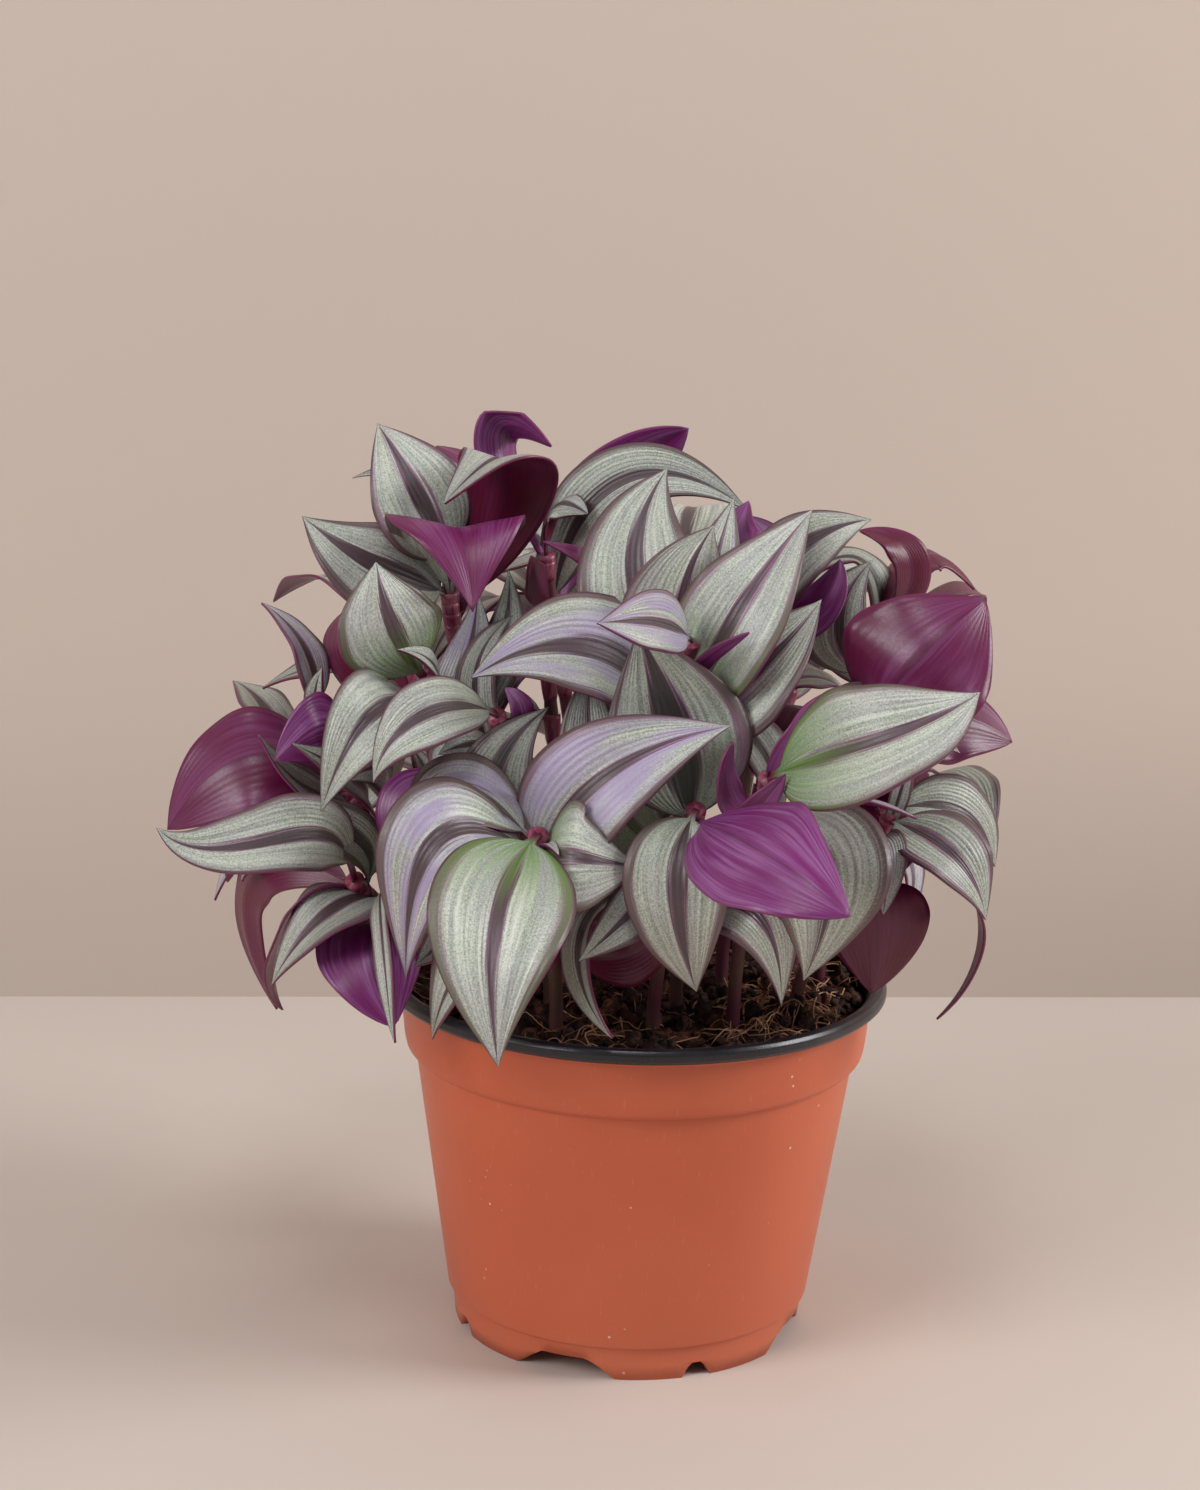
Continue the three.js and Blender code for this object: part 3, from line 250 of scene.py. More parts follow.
# Each leafy stem: where it stands in the mix, the points that it bends through, and its leaves.
# A leaf: how far up the stem it starts, its width, its roll, and the points of its midrib, tip last.
SET_STEMS = [
    dict(name="stem_front_left", root=(-20, -38), stem=((-25, -50, 127), (-25, -66, 147)), fill=1,
         looks="gllgplds", leaves=[
        (1, 27, 0, (-32, -86, 138), (-34, -80, 97)), (0.93, 20, 0, (-45, -64, 156), (-55, -62, 130)),
        (0.97, 22, 0, (-46, -78, 150), (-54, -74, 113)), (1, 23, 180, (-13, -82, 150), (-1, -74, 147)),
        (1, 5, 0, (-23, -77, 149), (-21, -82, 144)), (0.95, 23, 0, (-9, -72, 168), (13, -64, 181)),
        (0.8, 18, 180, (-34, -54, 163), (-21, -46, 174)), (0.6, 14, 0, (-41, -60, 121), (-54, -60, 108)),
    ]),
    dict(name="stem_front_centre", root=(4, -36), stem=((10, -44, 130), (12, -62, 153)), fill=2,
         looks="smdgsrs", leaves=[
        (1, 26, 0, (5, -82, 140), (6, -72, 99)), (1, 25, 180, (28, -88, 148), (48, -86, 133)),
        (0.9, 29, 0, (5, -52, 175), (-1, -54, 195)), (0.72, 16, 0, (-13, -46, 168), (-11, -42, 185)),
        (0.7, 12, 0, (-3, -64, 133), (-18, -64, 124)), (0.5, 14, 180, (-3, -50, 113), (-15, -50, 112)),
        (0.55, 17, 0, (26, -64, 127), (35, -60, 104)),
    ]),
    dict(name="stem_front_right", root=(24, -32), stem=((28, -42, 137), (29, -56, 160)), fill=1,
         looks="gmspp", leaves=[
        (1, 25, -35, (48, -74, 174), (74, -58, 183)), (0.95, 10, 60, (33, -52, 171), (38, -46, 182)),
        (0.85, 26, 0, (41, -70, 143), (37, -62, 112)), (0.93, 7, 40, (21, -62, 162), (23, -62, 168)),
        (0.9, 7, -30, (24, -66, 160), (27, -66, 165)),
    ]),
    dict(name="stem_middle", root=(10, -18), stem=((11, -28, 166), (10, -44, 190)), fill=2,
         looks="lsgmgssl", leaves=[
        (1, 24, 0, (-12, -62, 202), (-34, -62, 202)), (0.86, 25, 0, (-7, -30, 210), (-4, -20, 226)),
        (1, 24, 180, (5, -40, 204), (7, -40, 217)), (1, 6, 30, (13, -52, 201), (18, -52, 209)),
        (1, 22, 0, (27, -56, 204), (44, -46, 219)), (0.93, 22, 0, (29, -52, 186), (48, -44, 198)),
        (0.8, 14, 0, (8, -20, 212), (7, -14, 221)), (0.72, 24, 0, (-22, -46, 188), (-41, -50, 181)),
    ]),
    dict(name="stem_left_centre", root=(-22, -20), stem=((-36, -30, 147), (-36, -46, 171)), fill=0,
         looks="ssmsms", leaves=[
        (1, 14, 0, (-52, -62, 175), (-65, -58, 163)), (0.85, 12, 0, (-50, -54, 163), (-61, -58, 154)),
        (1, 6, 0, (-39, -50, 176), (-43, -50, 177)), (0.9, 9, 30, (-41, -44, 186), (-37, -38, 193)),
        (0.7, 12, 180, (-58, -58, 150), (-55, -62, 130)), (0.75, 14, 0, (-47, -40, 158), (-52, -46, 149)),
    ]),
    dict(name="stem_left", root=(-34, -16), stem=((-58, -10, 154), (-54, -38, 178)), fill=2,
         looks="grssld", leaves=[
        (1, 22, 180, (-62, -41, 190), (-69, -32, 202)), (0.85, 21, 180, (-74, -27, 187), (-67, -18, 199)),
        (1, 7, 0, (-61, -51, 183), (-68, -53, 183)), (0.95, 18, 0, (-67, -58, 174), (-77, -58, 157)),
        (0.85, 11, 180, (-46, -30, 184), (-47, -22, 197)), (0.7, 10, 0, (-40, -19, 192), (-44, -12, 203)),
    ]),
    dict(name="stem_top_left", root=(-36, 4), stem=((-52, -2, 183), (-50, -8, 204)), fill=0,
         looks="sssvrs", leaves=[
        (0.95, 21, 0, (-61, -16, 222), (-72, -12, 233)), (0.85, 20, 0, (-72, -22, 210), (-82, -18, 221)),
        (1, 28, 0, (-50, -34, 211), (-49, -44, 193)), (1, 24, 180, (-45, 1, 223), (-58, 4, 231)),
        (1, 21, 180, (-37, -19, 225), (-48, -26, 213)), (0.9, 6, 0, (-67, 3, 225), (-74, 0, 224)),
    ]),
    dict(name="stem_top_centre", root=(-12, 6), stem=((-24, 2, 181), (-26, -4, 203)), fill=1,
         looks="rmrssm", leaves=[
        (1, 18, 180, (-20, -10, 225), (-12, -17, 222)), (1, 12, 180, (-36, 10, 232), (-27, 6, 228)),
        (0.85, 15, 180, (-34, -13, 202), (-38, -16, 209)), (0.85, 7, 0, (-22, -32, 208), (-33, -34, 211)),
        (1, 15, 0, (-4, 4, 229), (12, 0, 229)), (0.95, 20, 40, (3, 12, 224), (16, 10, 230)),
    ]),
    dict(name="stem_upper_right", root=(22, -2), stem=((32, -12, 178), (30, -18, 196)), fill=1,
         looks="mmsm", leaves=[
        (1, 15, 180, (19, -12, 209), (24, -6, 218)), (0.95, 12, 180, (30, -8, 207), (27, -4, 215)),
        (1, 14, 0, (38, -28, 215), (49, -24, 220)), (0.85, 9, 180, (40, -26, 197), (43, -24, 206)),
    ]),
    dict(name="stem_right_top", root=(34, 0), stem=((60, -8, 171), (59, -10, 189)), fill=1,
         looks="rrrsd", leaves=[
        (1, 9, 0, (65, -4, 205), (55, 0, 212)), (1, 14, 180, (70, 5, 204), (78, 5, 197)),
        (0.95, 14, 0, (86, -4, 197), (83, -10, 183)), (0.8, 15, 0, (48, -24, 193), (55, -22, 205)),
        (0.9, 12, 0, (55, 5, 203), (45, 3, 198)),
    ]),
    dict(name="stem_right", root=(36, -16), stem=((55, -24, 146), (56, -36, 169)), fill=2,
         looks="vvsd", leaves=[
        (1, 31, 180, (61, -54, 190), (73, -48, 205)), (0.9, 19, 180, (77, -31, 171), (91, -30, 168)),
        (0.95, 9, 0, (65, -44, 171), (73, -42, 170)), (1, 10, 0, (52, -42, 177), (44, -42, 174)),
    ]),
    dict(name="stem_right_low", root=(40, -24), stem=((61, -32, 133), (60, -38, 148)), fill=1,
         looks="sssrmr", leaves=[
        (1, 14, 0, (77, -38, 148), (87, -36, 132)), (1, 15, 0, (70, -52, 141), (79, -50, 122)),
        (1, 4, 0, (63, -40, 156), (65, -38, 163)), (0.6, 23, 180, (58, -52, 127), (60, -58, 110)),
        (0.9, 10, 180, (57, -49, 144), (58, -50, 134)), (0.9, 15, 180, (71, -22, 152), (75, -14, 158)),
    ]),
    dict(name="stem_left_low", root=(-44, -22), stem=((-66, -32, 116), (-70, -42, 128)), fill=1,
         looks="sdrsmss", leaves=[
        (1, 16, 0, (-82, -56, 142), (-103, -56, 133), (-119, -48, 130)),
        (0.9, 12, 0, (-70, -44, 141), (-82, -46, 146), (-102, -42, 143)),
        (0.9, 14, 180, (-97, -30, 129), (-101, -26, 99)),
        (0.8, 11, 85, (-84, -44, 121), (-90, -42, 104), (-86, -40, 87)),
        (0.75, 21, 180, (-67, -50, 115), (-63, -65, 101)),
        (1, 10, 70, (-66, -60, 128), (-63, -72, 113), (-56, -76, 96)),
        (0.6, 9, 80, (-58, -52, 129), (-58, -62, 117), (-51, -68, 110)),
    ]),
    dict(name="stem_far_left", root=(-46, -6), stem=((-70, -12, 131), (-76, -16, 146)), fill=1,
         looks="vmsdsr", leaves=[
        (1, 25, 180, (-97, -33, 156), (-119, -32, 142)), (1, 15, 180, (-87, -34, 167), (-96, -36, 161)),
        (0.95, 9, 0, (-84, -40, 155), (-84, -44, 160)), (0.8, 12, 0, (-74, -38, 149), (-88, -42, 151)),
        (0.85, 12, 0, (-70, -28, 158), (-80, -32, 157)), (0.7, 12, 180, (-98, -10, 140), (-109, -12, 128)),
    ]),
    dict(name="stem_left_upper", root=(-42, 10), stem=((-76, -4, 148), (-83, -12, 163)), fill=0,
         looks="lsv", leaves=[
        (1, 11, 50, (-83, -16, 184), (-88, -12, 199)), (1, 9, 0, (-80, -22, 175), (-76, -24, 182)),
        (0.9, 11, 180, (-77, -16, 169), (-80, -27, 166)),
    ]),
]
RULED_STEMS = [
    dict(name="stem_back_left", root=(-34, 26), stem=((-58, 34, 150), (-64, 40, 168)), count=7),
    dict(name="stem_back_left_low", root=(-44, 22), stem=((-78, 30, 112), (-88, 34, 128)), count=6),
    dict(name="stem_back", root=(-10, 40), stem=((-16, 60, 150), (-18, 68, 168)), count=7),
    dict(name="stem_back_low", root=(4, 46), stem=((12, 74, 112), (14, 84, 124)), count=6),
    dict(name="stem_back_right", root=(26, 30), stem=((38, 40, 152), (42, 46, 170)), count=7),
    dict(name="stem_back_right_low", root=(42, 20), stem=((58, 42, 112), (64, 50, 124)), count=6),
    dict(name="stem_crown", root=(2, 20), stem=((6, 24, 172), (8, 26, 188)), count=7),
    dict(name="stem_crown_left", root=(-20, 24), stem=((-26, 30, 164), (-26, 34, 182)), count=5),
    dict(name="stem_side_right", root=(48, 8), stem=((68, 18, 134), (72, 20, 150)), count=5),
]
ALL_STEMS = SET_STEMS + RULED_STEMS

# ---- camera and stage: the photograph's place and lens, soft light and a wall just behind ----
CAMERA_PLACE = (-11.07, -746.12, 326.96)
CAMERA_TILT = 13.08
CAMERA_ROLL = -1.59
FOCAL_PIXELS = 3000
FRAME_HEIGHT_PIXELS = 1490
WALL_TURN = 5.0
WALL_SHADE = 0.86
STAGE_SIZE = 4
LIGHTS = {  # place, aim and size, in metres
    "right": ((1.4, -0.15, 0.95), (0, 0, 0.12), 0.7),
    "left": ((-1.2, -0.95, 1.0), (0, 0, 0.12), 0.9),
    "top": ((-0.1, -0.9, 1.7), (0, 0, 0.16), 0.5),
}


# ---------------------------------------------------------------- small helpers

def colour(*screen):
    """A colour as seen on a screen, from 0 to 255, made linear."""
    shares = [value / 255 for value in screen]
    return tuple(v / 12.92 if v <= 0.04045 else ((v + 0.055) / 1.055) ** 2.4 for v in shares)


def in_frame(point):
    """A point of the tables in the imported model's frame, in metres."""
    return Vector((point[0] * MM + POT_MIDDLE.x, point[1] * MM + POT_MIDDLE.y, point[2] * MM))


def rows_in_frame(points):
    """The same for an array of points."""
    return np.asarray(points, float) * MM + [POT_MIDDLE.x, POT_MIDDLE.y, 0]


def make_object(name, bm, materials=()):
    """An object at the origin with the shape of a bmesh."""
    mesh = bpy.data.meshes.new(name)
    bm.to_mesh(mesh)
    bm.free()
    for material in materials:
        mesh.materials.append(material)
    made = bpy.data.objects.new(name, mesh)
    bpy.context.scene.collection.objects.link(made)
    return made


def finish_piece(name, bm, materials, node=None):
    """Makes a smooth piece from its bmesh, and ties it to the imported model."""
    for face in bm.faces:
        face.smooth = True
    piece = make_object(name, bm, materials)
    if node:
        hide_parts(node)
    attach(piece, "root")
    return piece


# ---------------------------------------------------------------- shading

class Value:
    """A number, colour or direction that varies over a surface, open to sums."""

    def __init__(self, shader, socket):
        self.shader = shader
        self.socket = socket

    def __add__(self, other):
        return self.shader.math("ADD", self, other)

    def __sub__(self, other):
        return self.shader.math("SUBTRACT", self, other)

    def __mul__(self, other):
        return self.shader.math("MULTIPLY", self, other)

    def __abs__(self):
        return self.shader.math("ABSOLUTE", self)

    def step(self, low, high, start=0.0, end=1.0):
        """Goes smoothly from start to end while the value goes from low to high."""
        return self.shader.add("MapRange", self, low, high, start, end, interpolation_type="SMOOTHSTEP")


class Shader:
    """A material, node group or world under construction."""

    def __init__(self, tree, material=None):
        self.tree = tree
        self.material = material
        self.surface = tree.nodes.get("Principled BSDF")

    def put(self, socket, value):
        """Links or sets an input. None leaves it as it is."""
        if isinstance(value, Value):
            self.tree.links.new(value.socket, socket)
        elif value is not None:
            socket.default_value = value

    def add(self, kind, *values, out=0, **settings):
        """A node: first inputs in order, settings and other inputs by name. Gives the outputs asked for."""
        node = self.tree.nodes.new("ShaderNode" + kind)
        others = {}
        for name, value in settings.items():
            if hasattr(node, name):
                setattr(node, name, value)
            else:
                others[name] = value
        for socket, value in zip(node.inputs, values):
            self.put(socket, value)
        for name, value in others.items():
            self.put(node.inputs[name], value)
        if isinstance(out, tuple):
            return [Value(self, node.outputs[name]) for name in out]
        return Value(self, node.outputs[out])

    def group(self, name, *values):
        """One of the shared effects, with its inputs in order. Gives all its outputs."""
        node = self.tree.nodes.new("ShaderNodeGroup")
        node.node_tree = bpy.data.node_groups[name]
        for socket, value in zip(node.inputs, values):
            self.put(socket, value)
        return [Value(self, socket) for socket in node.outputs]

    def math(self, operation, *values, clamp=False):
        return self.add("Math", *values, operation=operation, use_clamp=clamp)

    def place(self):
        return self.add("TexCoord", out="Object")

    def scaled(self, place, *scale):
        return self.add("Mapping", place, Scale=scale)

    def vector(self, x, y, z):
        return self.add("CombineXYZ", x, y, z)

    def height(self, place):
        return self.add("SeparateXYZ", place, out="Z")

    def noise(self, place, scale, detail=3.0, roughness=0.5):
        return self.add("TexNoise", Vector=place, Scale=scale, Detail=detail, Roughness=roughness)

    def blade_noise(self, across, along, seed, size, detail=2.0, roughness=0.5):
        """Noise in a blade's own directions. Size is how many patches fit across and along it."""
        return self.noise(self.vector(across * size[0], along * size[1], seed), 1.0, detail, roughness)

    def mix(self, share, first, second, blend="MIX"):
        """Goes from the first colour to the second by a share."""
        first, second = (c if isinstance(c, Value) else (*c, 1) for c in (first, second))
        return self.add("Mix", share, *[None] * 5, first, second, out=2, data_type="RGBA", blend_type=blend)

    def darken(self, shade, share):
        """A colour times a number."""
        return self.mix(1.0, shade, self.vector(share, share, share), "MULTIPLY")

    def bumps(self, *layers):
        """Bumps on top of one another, each with its height, its depth in millimetres and its strength."""
        normal = None
        for height, depth, strength in layers:
            normal = self.add("Bump", Height=height, Distance=depth * MM, Strength=strength, Normal=normal)
        return normal

    def cover(self, base, normal=None, rough=None):
        """Ends a material with what varies over its surface."""
        for name, value in (("Base Color", base), ("Normal", normal), ("Roughness", rough)):
            self.put(self.surface.inputs[name], value)
        return self.material


def skin(name, rough, specular=0.5):
    """The shader of a new material. What is the same all over stands on the surface's own sockets."""
    material = bpy.data.materials.new(name)
    material.use_nodes = True
    shader = Shader(material.node_tree, material)
    shader.surface.inputs["Roughness"].default_value = rough
    shader.surface.inputs["Specular IOR Level"].default_value = specular
    return shader


def blade_place(shader):
    """Place on a blade: across from -1 to 1 and along from 0 to 1. Then its seed, its look, and how bright
    its underside is painted.
    """
    across, along = shader.add("SeparateXYZ", shader.add("UVMap", uv_map="UVMap"), out=(0, 1))
    look, underside = shader.add("Attribute", attribute_name="leaf_look", out=("Color", "Alpha"))
    seed = shader.add("Attribute", attribute_name="leaf_seed", out="Fac")
    return across * 2.0 - 1.0, along, seed, look, underside


def parallel_veins(shader, across, along, seed, count):
    """Veins that run along the blade, and broad and fine streaks between them."""
    lean = shader.blade_noise(across, along, seed, (2.0, 1.6)) * 0.12 + across
    wave = shader.math("SINE", lean * count * math.tau)
    streaks = shader.blade_noise(lean, along, seed, (16.0, 1.5), 4.0, 0.6)
    fine = shader.blade_noise(lean, along, seed, (60.0, 5.0), 3.0, 0.6)
    return wave * 0.5 + 0.5, streaks, fine


def grain(shader, size, contrast):
    """Small cells of a leaf, or the texture of moulded plastic. Size is in millimetres."""
    cells = shader.noise(shader.place(), shader.math("DIVIDE", 1 / MM, size), 2.0, 0.7)
    return [shader.math("MULTIPLY_ADD", cells - 0.5, contrast, 0.5, clamp=True)]


def make_groups():
    """Makes the effects that more than one material uses."""
    effects = (
        (blade_place, {}, dict(Across="Float", Along="Float", Seed="Float", Look="Color", Underside="Float")),
        (parallel_veins, dict(Across=0.0, Along=0.0, Seed=0.0, Count=9.0),
         dict(Height="Float", Streaks="Float", Fine="Float")),
        (grain, dict(Size=0.3, Contrast=1.0), dict(Fac="Float")),
    )
    for effect, inputs, outputs in effects:
        tree = bpy.data.node_groups.new(effect.__name__, "ShaderNodeTree")
        for name, default in inputs.items():
            socket = tree.interface.new_socket(name, in_out="INPUT", socket_type="NodeSocketFloat")
            socket.default_value = default
        for name, kind in outputs.items():
            tree.interface.new_socket(name, in_out="OUTPUT", socket_type="NodeSocket" + kind)
        shader = Shader(tree)
        given = tree.nodes.new("NodeGroupInput").outputs[:len(inputs)]
        made = effect(shader, *[Value(shader, socket) for socket in given])
        for socket, value in zip(tree.nodes.new("NodeGroupOutput").inputs, made):
            shader.put(socket, value)


def leaf_top(look):
    """Upper side: two silver bands with painted sparkle, a dark middle, dark margins, green and pink at the
    base, and painted shade on leaves that hang in shade.
    """
    shader = skin("leaf_upper_side", 0.36, 0.6)
    place, along, seed, tints, _ = shader.group("blade_place")
    ridges, streaks, fine = shader.group("parallel_veins", place, along, seed, 9.0)
    cells, = shader.group("grain", 0.42, 2.4)
    lilac, dark, green = shader.add("SeparateColor", tints, out=(0, 1, 2))
    own = shader.add("TexWhiteNoise", W=seed, noise_dimensions="1D", out="Color")
    own_middle, own_rim, own_border = shader.add("SeparateColor", own, out=(0, 1, 2))
    across = abs(place)
    wander = streaks - 0.5
    edge = across + wander * 0.34 + (fine - 0.5) * 0.12
    # the dark middle is widest a third up, and no two leaves have quite the same
    widest = own_middle * 0.12 + dark * 0.14 + 0.07
    into = edge - widest * along.step(0.45, 1.0, 1.0, 0.45) * along.step(0.0, 0.3, 0.35, 1.0)
    over = edge - (own_rim * -0.16 + dark * -0.05 + 0.93)
    silver_mask = into.step(-0.035, 0.045) * over.step(-0.05, 0.05, 1.0, 0.0)
    border = shader.math("MINIMUM", abs(into), abs(over)).step(0.01, 0.06, 1.0, 0.0) * own_border
    patch = shader.blade_noise(place, along, seed, (3.0, 2.5))
    # The bands go from the darker to the brighter silver along the streaks of their pattern; the cells' share
    # paints sparkle on them.
    bright = streaks * 0.75 + cells * 0.3
    silver = shader.mix(bright.step(0.3, 0.76), look.silver_shade, look.silver)
    silver = shader.mix(lilac * patch.step(0.3, 0.65), silver, look.lilac)
    # Leaves in painted shade get the greyer green middle stripe.
    middle = shader.mix(dark, look.middle, look.middle_green)
    middle = shader.mix(fine * 0.4, middle, colour(124, 104, 112))
    rim = shader.mix(green, look.margin, colour(96, 102, 74))
    rim = shader.mix(fine * 0.4, rim, colour(146, 132, 128))
    base = shader.mix(across.step(0.4, 0.55), middle, rim)
    base = shader.mix(silver_mask, base, silver)
    base = shader.mix(border * 0.75, base, look.border)
    base = shader.mix(green * along.step(0.06, 0.55, 1.0, 0.0) * streaks.step(0.36, 0.54), base, look.fresh)
    base = shader.mix((wander * 0.08 + along).step(0.015, 0.075, 1.0, 0.0), base, look.sheath)
    base = shader.mix(across.step(0.95, 0.985) * 0.8, base, colour(104, 58, 76))
    # Painted shade: leaves with a high dark value, those that hang in shade, are darkened all over.
    base = shader.darken(base, dark * -0.45 + 1.04)
    normal = shader.bumps((ridges, 0.18, 0.5), (fine, 0.12, 0.5), (cells, 0.06, 0.5))
    return shader.cover(base, normal, cells * 0.2 + 0.26)


def leaf_under(look):
    """Underside: satin purple, painted maroon in shade and magenta where lit, with faint veins and a painted
    pale violet sheen between them.
    """
    shader = skin("leaf_underside", 0.3)
    place, along, seed, _, lit = shader.group("blade_place")
    ridges, streaks, fine = shader.group("parallel_veins", place, along, seed, 8.0)
    cells, = shader.group("grain", 0.6, 1.6)
    across = abs(place)
    patch = shader.blade_noise(place, along, seed, (1.6, 2.0))
    # Painted light and shade: each underside's brightness, varied in patches, mixes the shaded maroon with
    # the lit magenta.
    tone = shader.math("ADD", lit, patch * 0.5 - 0.25, clamp=True)
    base = shader.mix(tone, look.maroon, look.magenta)
    # Painted sheen: pale violet streaks in patches, only on lit undersides.
    base = shader.mix(patch.step(0.34, 0.6) * streaks.step(0.36, 0.66) * lit * 0.55, base, look.bloom)
    base = shader.mix(fine.step(0.5, 0.8) * 0.3, base, colour(50, 8, 30))
    base = shader.mix(across.step(0.0, 0.05, 0.6, 0.0), base, colour(70, 22, 52))
    base = shader.mix(across.step(0.95, 0.99, 0.0, 0.5), base, colour(120, 44, 78))
    normal = shader.bumps((ridges, 0.08, 0.3), (fine, 0.07, 0.35), (cells, 0.04, 0.4))
    return shader.cover(base, normal, cells * 0.16 + 0.28)


def stem_skin():
    """Stems: purple pink over green, streaked along their length."""
    shader = skin("stem_skin", 0.38)
    place = shader.place()
    streak = shader.noise(shader.scaled(place, 420.0, 420.0, 60.0), 1.0)
    blotch = shader.noise(place, 60.0, 2.0)
    base = shader.mix(blotch.step(0.35, 0.65), colour(92, 38, 56), colour(78, 66, 44))
    base = shader.mix(streak * 0.4, base, colour(138, 78, 96))
    return shader.cover(base, shader.bumps((streak, 0.2, 0.5)))


def sheath_skin(look):
    """Sheaths and buds: clear pink to magenta, paler in streaks."""
    shader = skin("sheath_skin", 0.34)
    streak = shader.noise(shader.scaled(shader.place(), 900.0, 900.0, 160.0), 1.0)
    base = shader.mix(streak.step(0.35, 0.7), look.sheath, colour(170, 108, 122))
    return shader.cover(base, shader.bumps((streak, 0.2, 0.4)))


def hair_skin():
    """Soft hairs: nearly white to pale pink."""
    shader = skin("hair", 0.5)
    return shader.cover(shader.mix(shader.noise(shader.place(), 400.0), colour(215, 205, 205),
                                   colour(190, 160, 172)))


def pot_shell(look):
    """Terracotta plastic: satin, with pale specks, fine scratches and a little dust near the foot."""
    shader = skin("terracotta_plastic", 0.42, 0.45)
    place = shader.place()
    cloud = shader.noise(place, 14.0)
    base = shader.mix(cloud.step(0.3, 0.7), look.shell, look.shell_light)
    dots = shader.add("TexVoronoi", place, Scale=260.0, out="Distance")
    specks = dots.step(0.05, 0.12, 1.0, 0.0) * shader.noise(place, 70.0, 1.0).step(0.60, 0.68)
    base = shader.mix(specks * 0.9, base, colour(240, 206, 184))
    scratch = shader.noise(shader.scaled(place, 1500.0, 1500.0, 60.0), 1.0, 2.0).step(0.66, 0.74)
    base = shader.mix(scratch * 0.10, base, colour(240, 180, 150))
    dust = shader.height(place).step(0.0, 0.016, 1.0, 0.0) * shader.noise(place, 90.0, 4.0)
    base = shader.mix(dust * 0.35, base, colour(176, 120, 96))
    waves = shader.noise(shader.scaled(place, 30.0, 30.0, 12.0), 1.0, 1.0)
    cells, = shader.group("grain", 0.5, 1.5)
    normal = shader.bumps((waves, 0.6, 0.25), (cells, 0.06, 0.45))
    return shader.cover(base, normal, cloud * 0.16 + 0.33 + scratch * 0.1)


def pot_lining(look):
    """Black plastic of the lip and the lining, with dust and a dull shine."""
    shader = skin("black_plastic", 0.36)
    cloud = shader.noise(shader.place(), 60.0, 4.0)
    cells, = shader.group("grain", 0.4, 1.5)
    base = shader.mix(cloud.step(0.5, 0.8), look.lining, colour(66, 60, 64))
    return shader.cover(base, shader.bumps((cells, 0.05, 0.4)), cloud * 0.3 + 0.14)


def peat_skin(look):
    """Damp peat: brown crumbs, hollows painted nearly black in shade, and reddish fibre dust."""
    shader = skin("damp_peat", 0.85, 0.35)
    place = shader.place()
    lumps = shader.noise(place, 320.0, 5.0, 0.65)
    patches = shader.noise(place, 55.0, 2.0)
    # Painted shade: the low parts of the bumps, the hollows between the crumbs, are nearly black.
    base = shader.mix(lumps.step(0.35, 0.7), look.peat_dark, look.peat)
    base = shader.mix(patches.step(0.45, 0.7) * lumps.step(0.4, 0.75), base, look.coir)
    normal = shader.bumps((lumps, 2.0, 0.9), (shader.noise(place, 1400.0), 0.4, 0.7))
    return shader.cover(base, normal, lumps * -0.4 + 1.0)


def fibre_skin(look):
    """Coir fibres: tan to red brown along each strand."""
    shader = skin("coir_fibre", 0.6)
    tone = shader.add("Attribute", attribute_name="strand_tone", out="Fac")
    base = shader.mix(tone, look.coir, look.fibre)
    spots = shader.noise(shader.place(), 500.0, 2.0)
    return shader.cover(shader.mix(spots * 0.4, base, colour(88, 48, 28)))


def plain_skin(name, tone, rough, low_shade):
    """A pale, faintly clouded surface, shaded near the floor."""
    shader = skin(name, rough, 0.3)
    place = shader.place()
    base = shader.mix(shader.noise(place, 3.0), tone, [min(1, c * 1.04) for c in tone])
    return shader.cover(shader.darken(base, shader.height(place).step(0.0, 0.14, low_shade, 1.0)))


# ---------------------------------------------------------------- where the leaves hang

def draws(seed):
    """A seeded stream of numbers between 0 and 1."""
    state = seed
    while True:
        state = state * 16807 % 2147483647
        yield state / 2147483647


def stem_point(stem, f):
    """Points on a stem at shares f of its free length: straight up out of the mix, then over to its top."""
    f = np.asarray(f, float)[..., None]
    foot = np.array([*stem["root"], FREE_HEIGHT], float)
    bend, top = (np.array(p, float) for p in stem["stem"])
    rise = foot + [0, 0, (top[2] - foot[2]) * START_RISE]
    g = 1 - f
    return g ** 3 * foot + 3 * g * g * f * rise + 3 * g * f * f * bend + f ** 3 * top


def ruled_leaf(stem, f, turn, lift, scale, draw):
    """One leaf by rule: out from the stem at a heading, over a low arch."""
    def between(pair):
        return pair[0] + (pair[1] - pair[0]) * next(draw)
    x, y, _ = stem["stem"][1]
    heading = math.atan2(y, x) + math.radians(turn + RULE["jitter"] * (2 * next(draw) - 1))
    length = between(RULE["length"]) * scale
    width = between(RULE["width"]) * scale
    rise = between(RULE["rise"])
    base = stem_point(stem, f)
    way = np.array([math.cos(heading), math.sin(heading), 0])
    tip = base + way * length + [0, 0, lift]
    middle = (base + tip) / 2 + [0, 0, rise]
    face = way * RULE["outward"] + [0, 0, RULE["upward"]]
    return dict(stem=stem, f=f, points=[base, middle, tip], width=width, roll=0, face=face, hold=RULED)


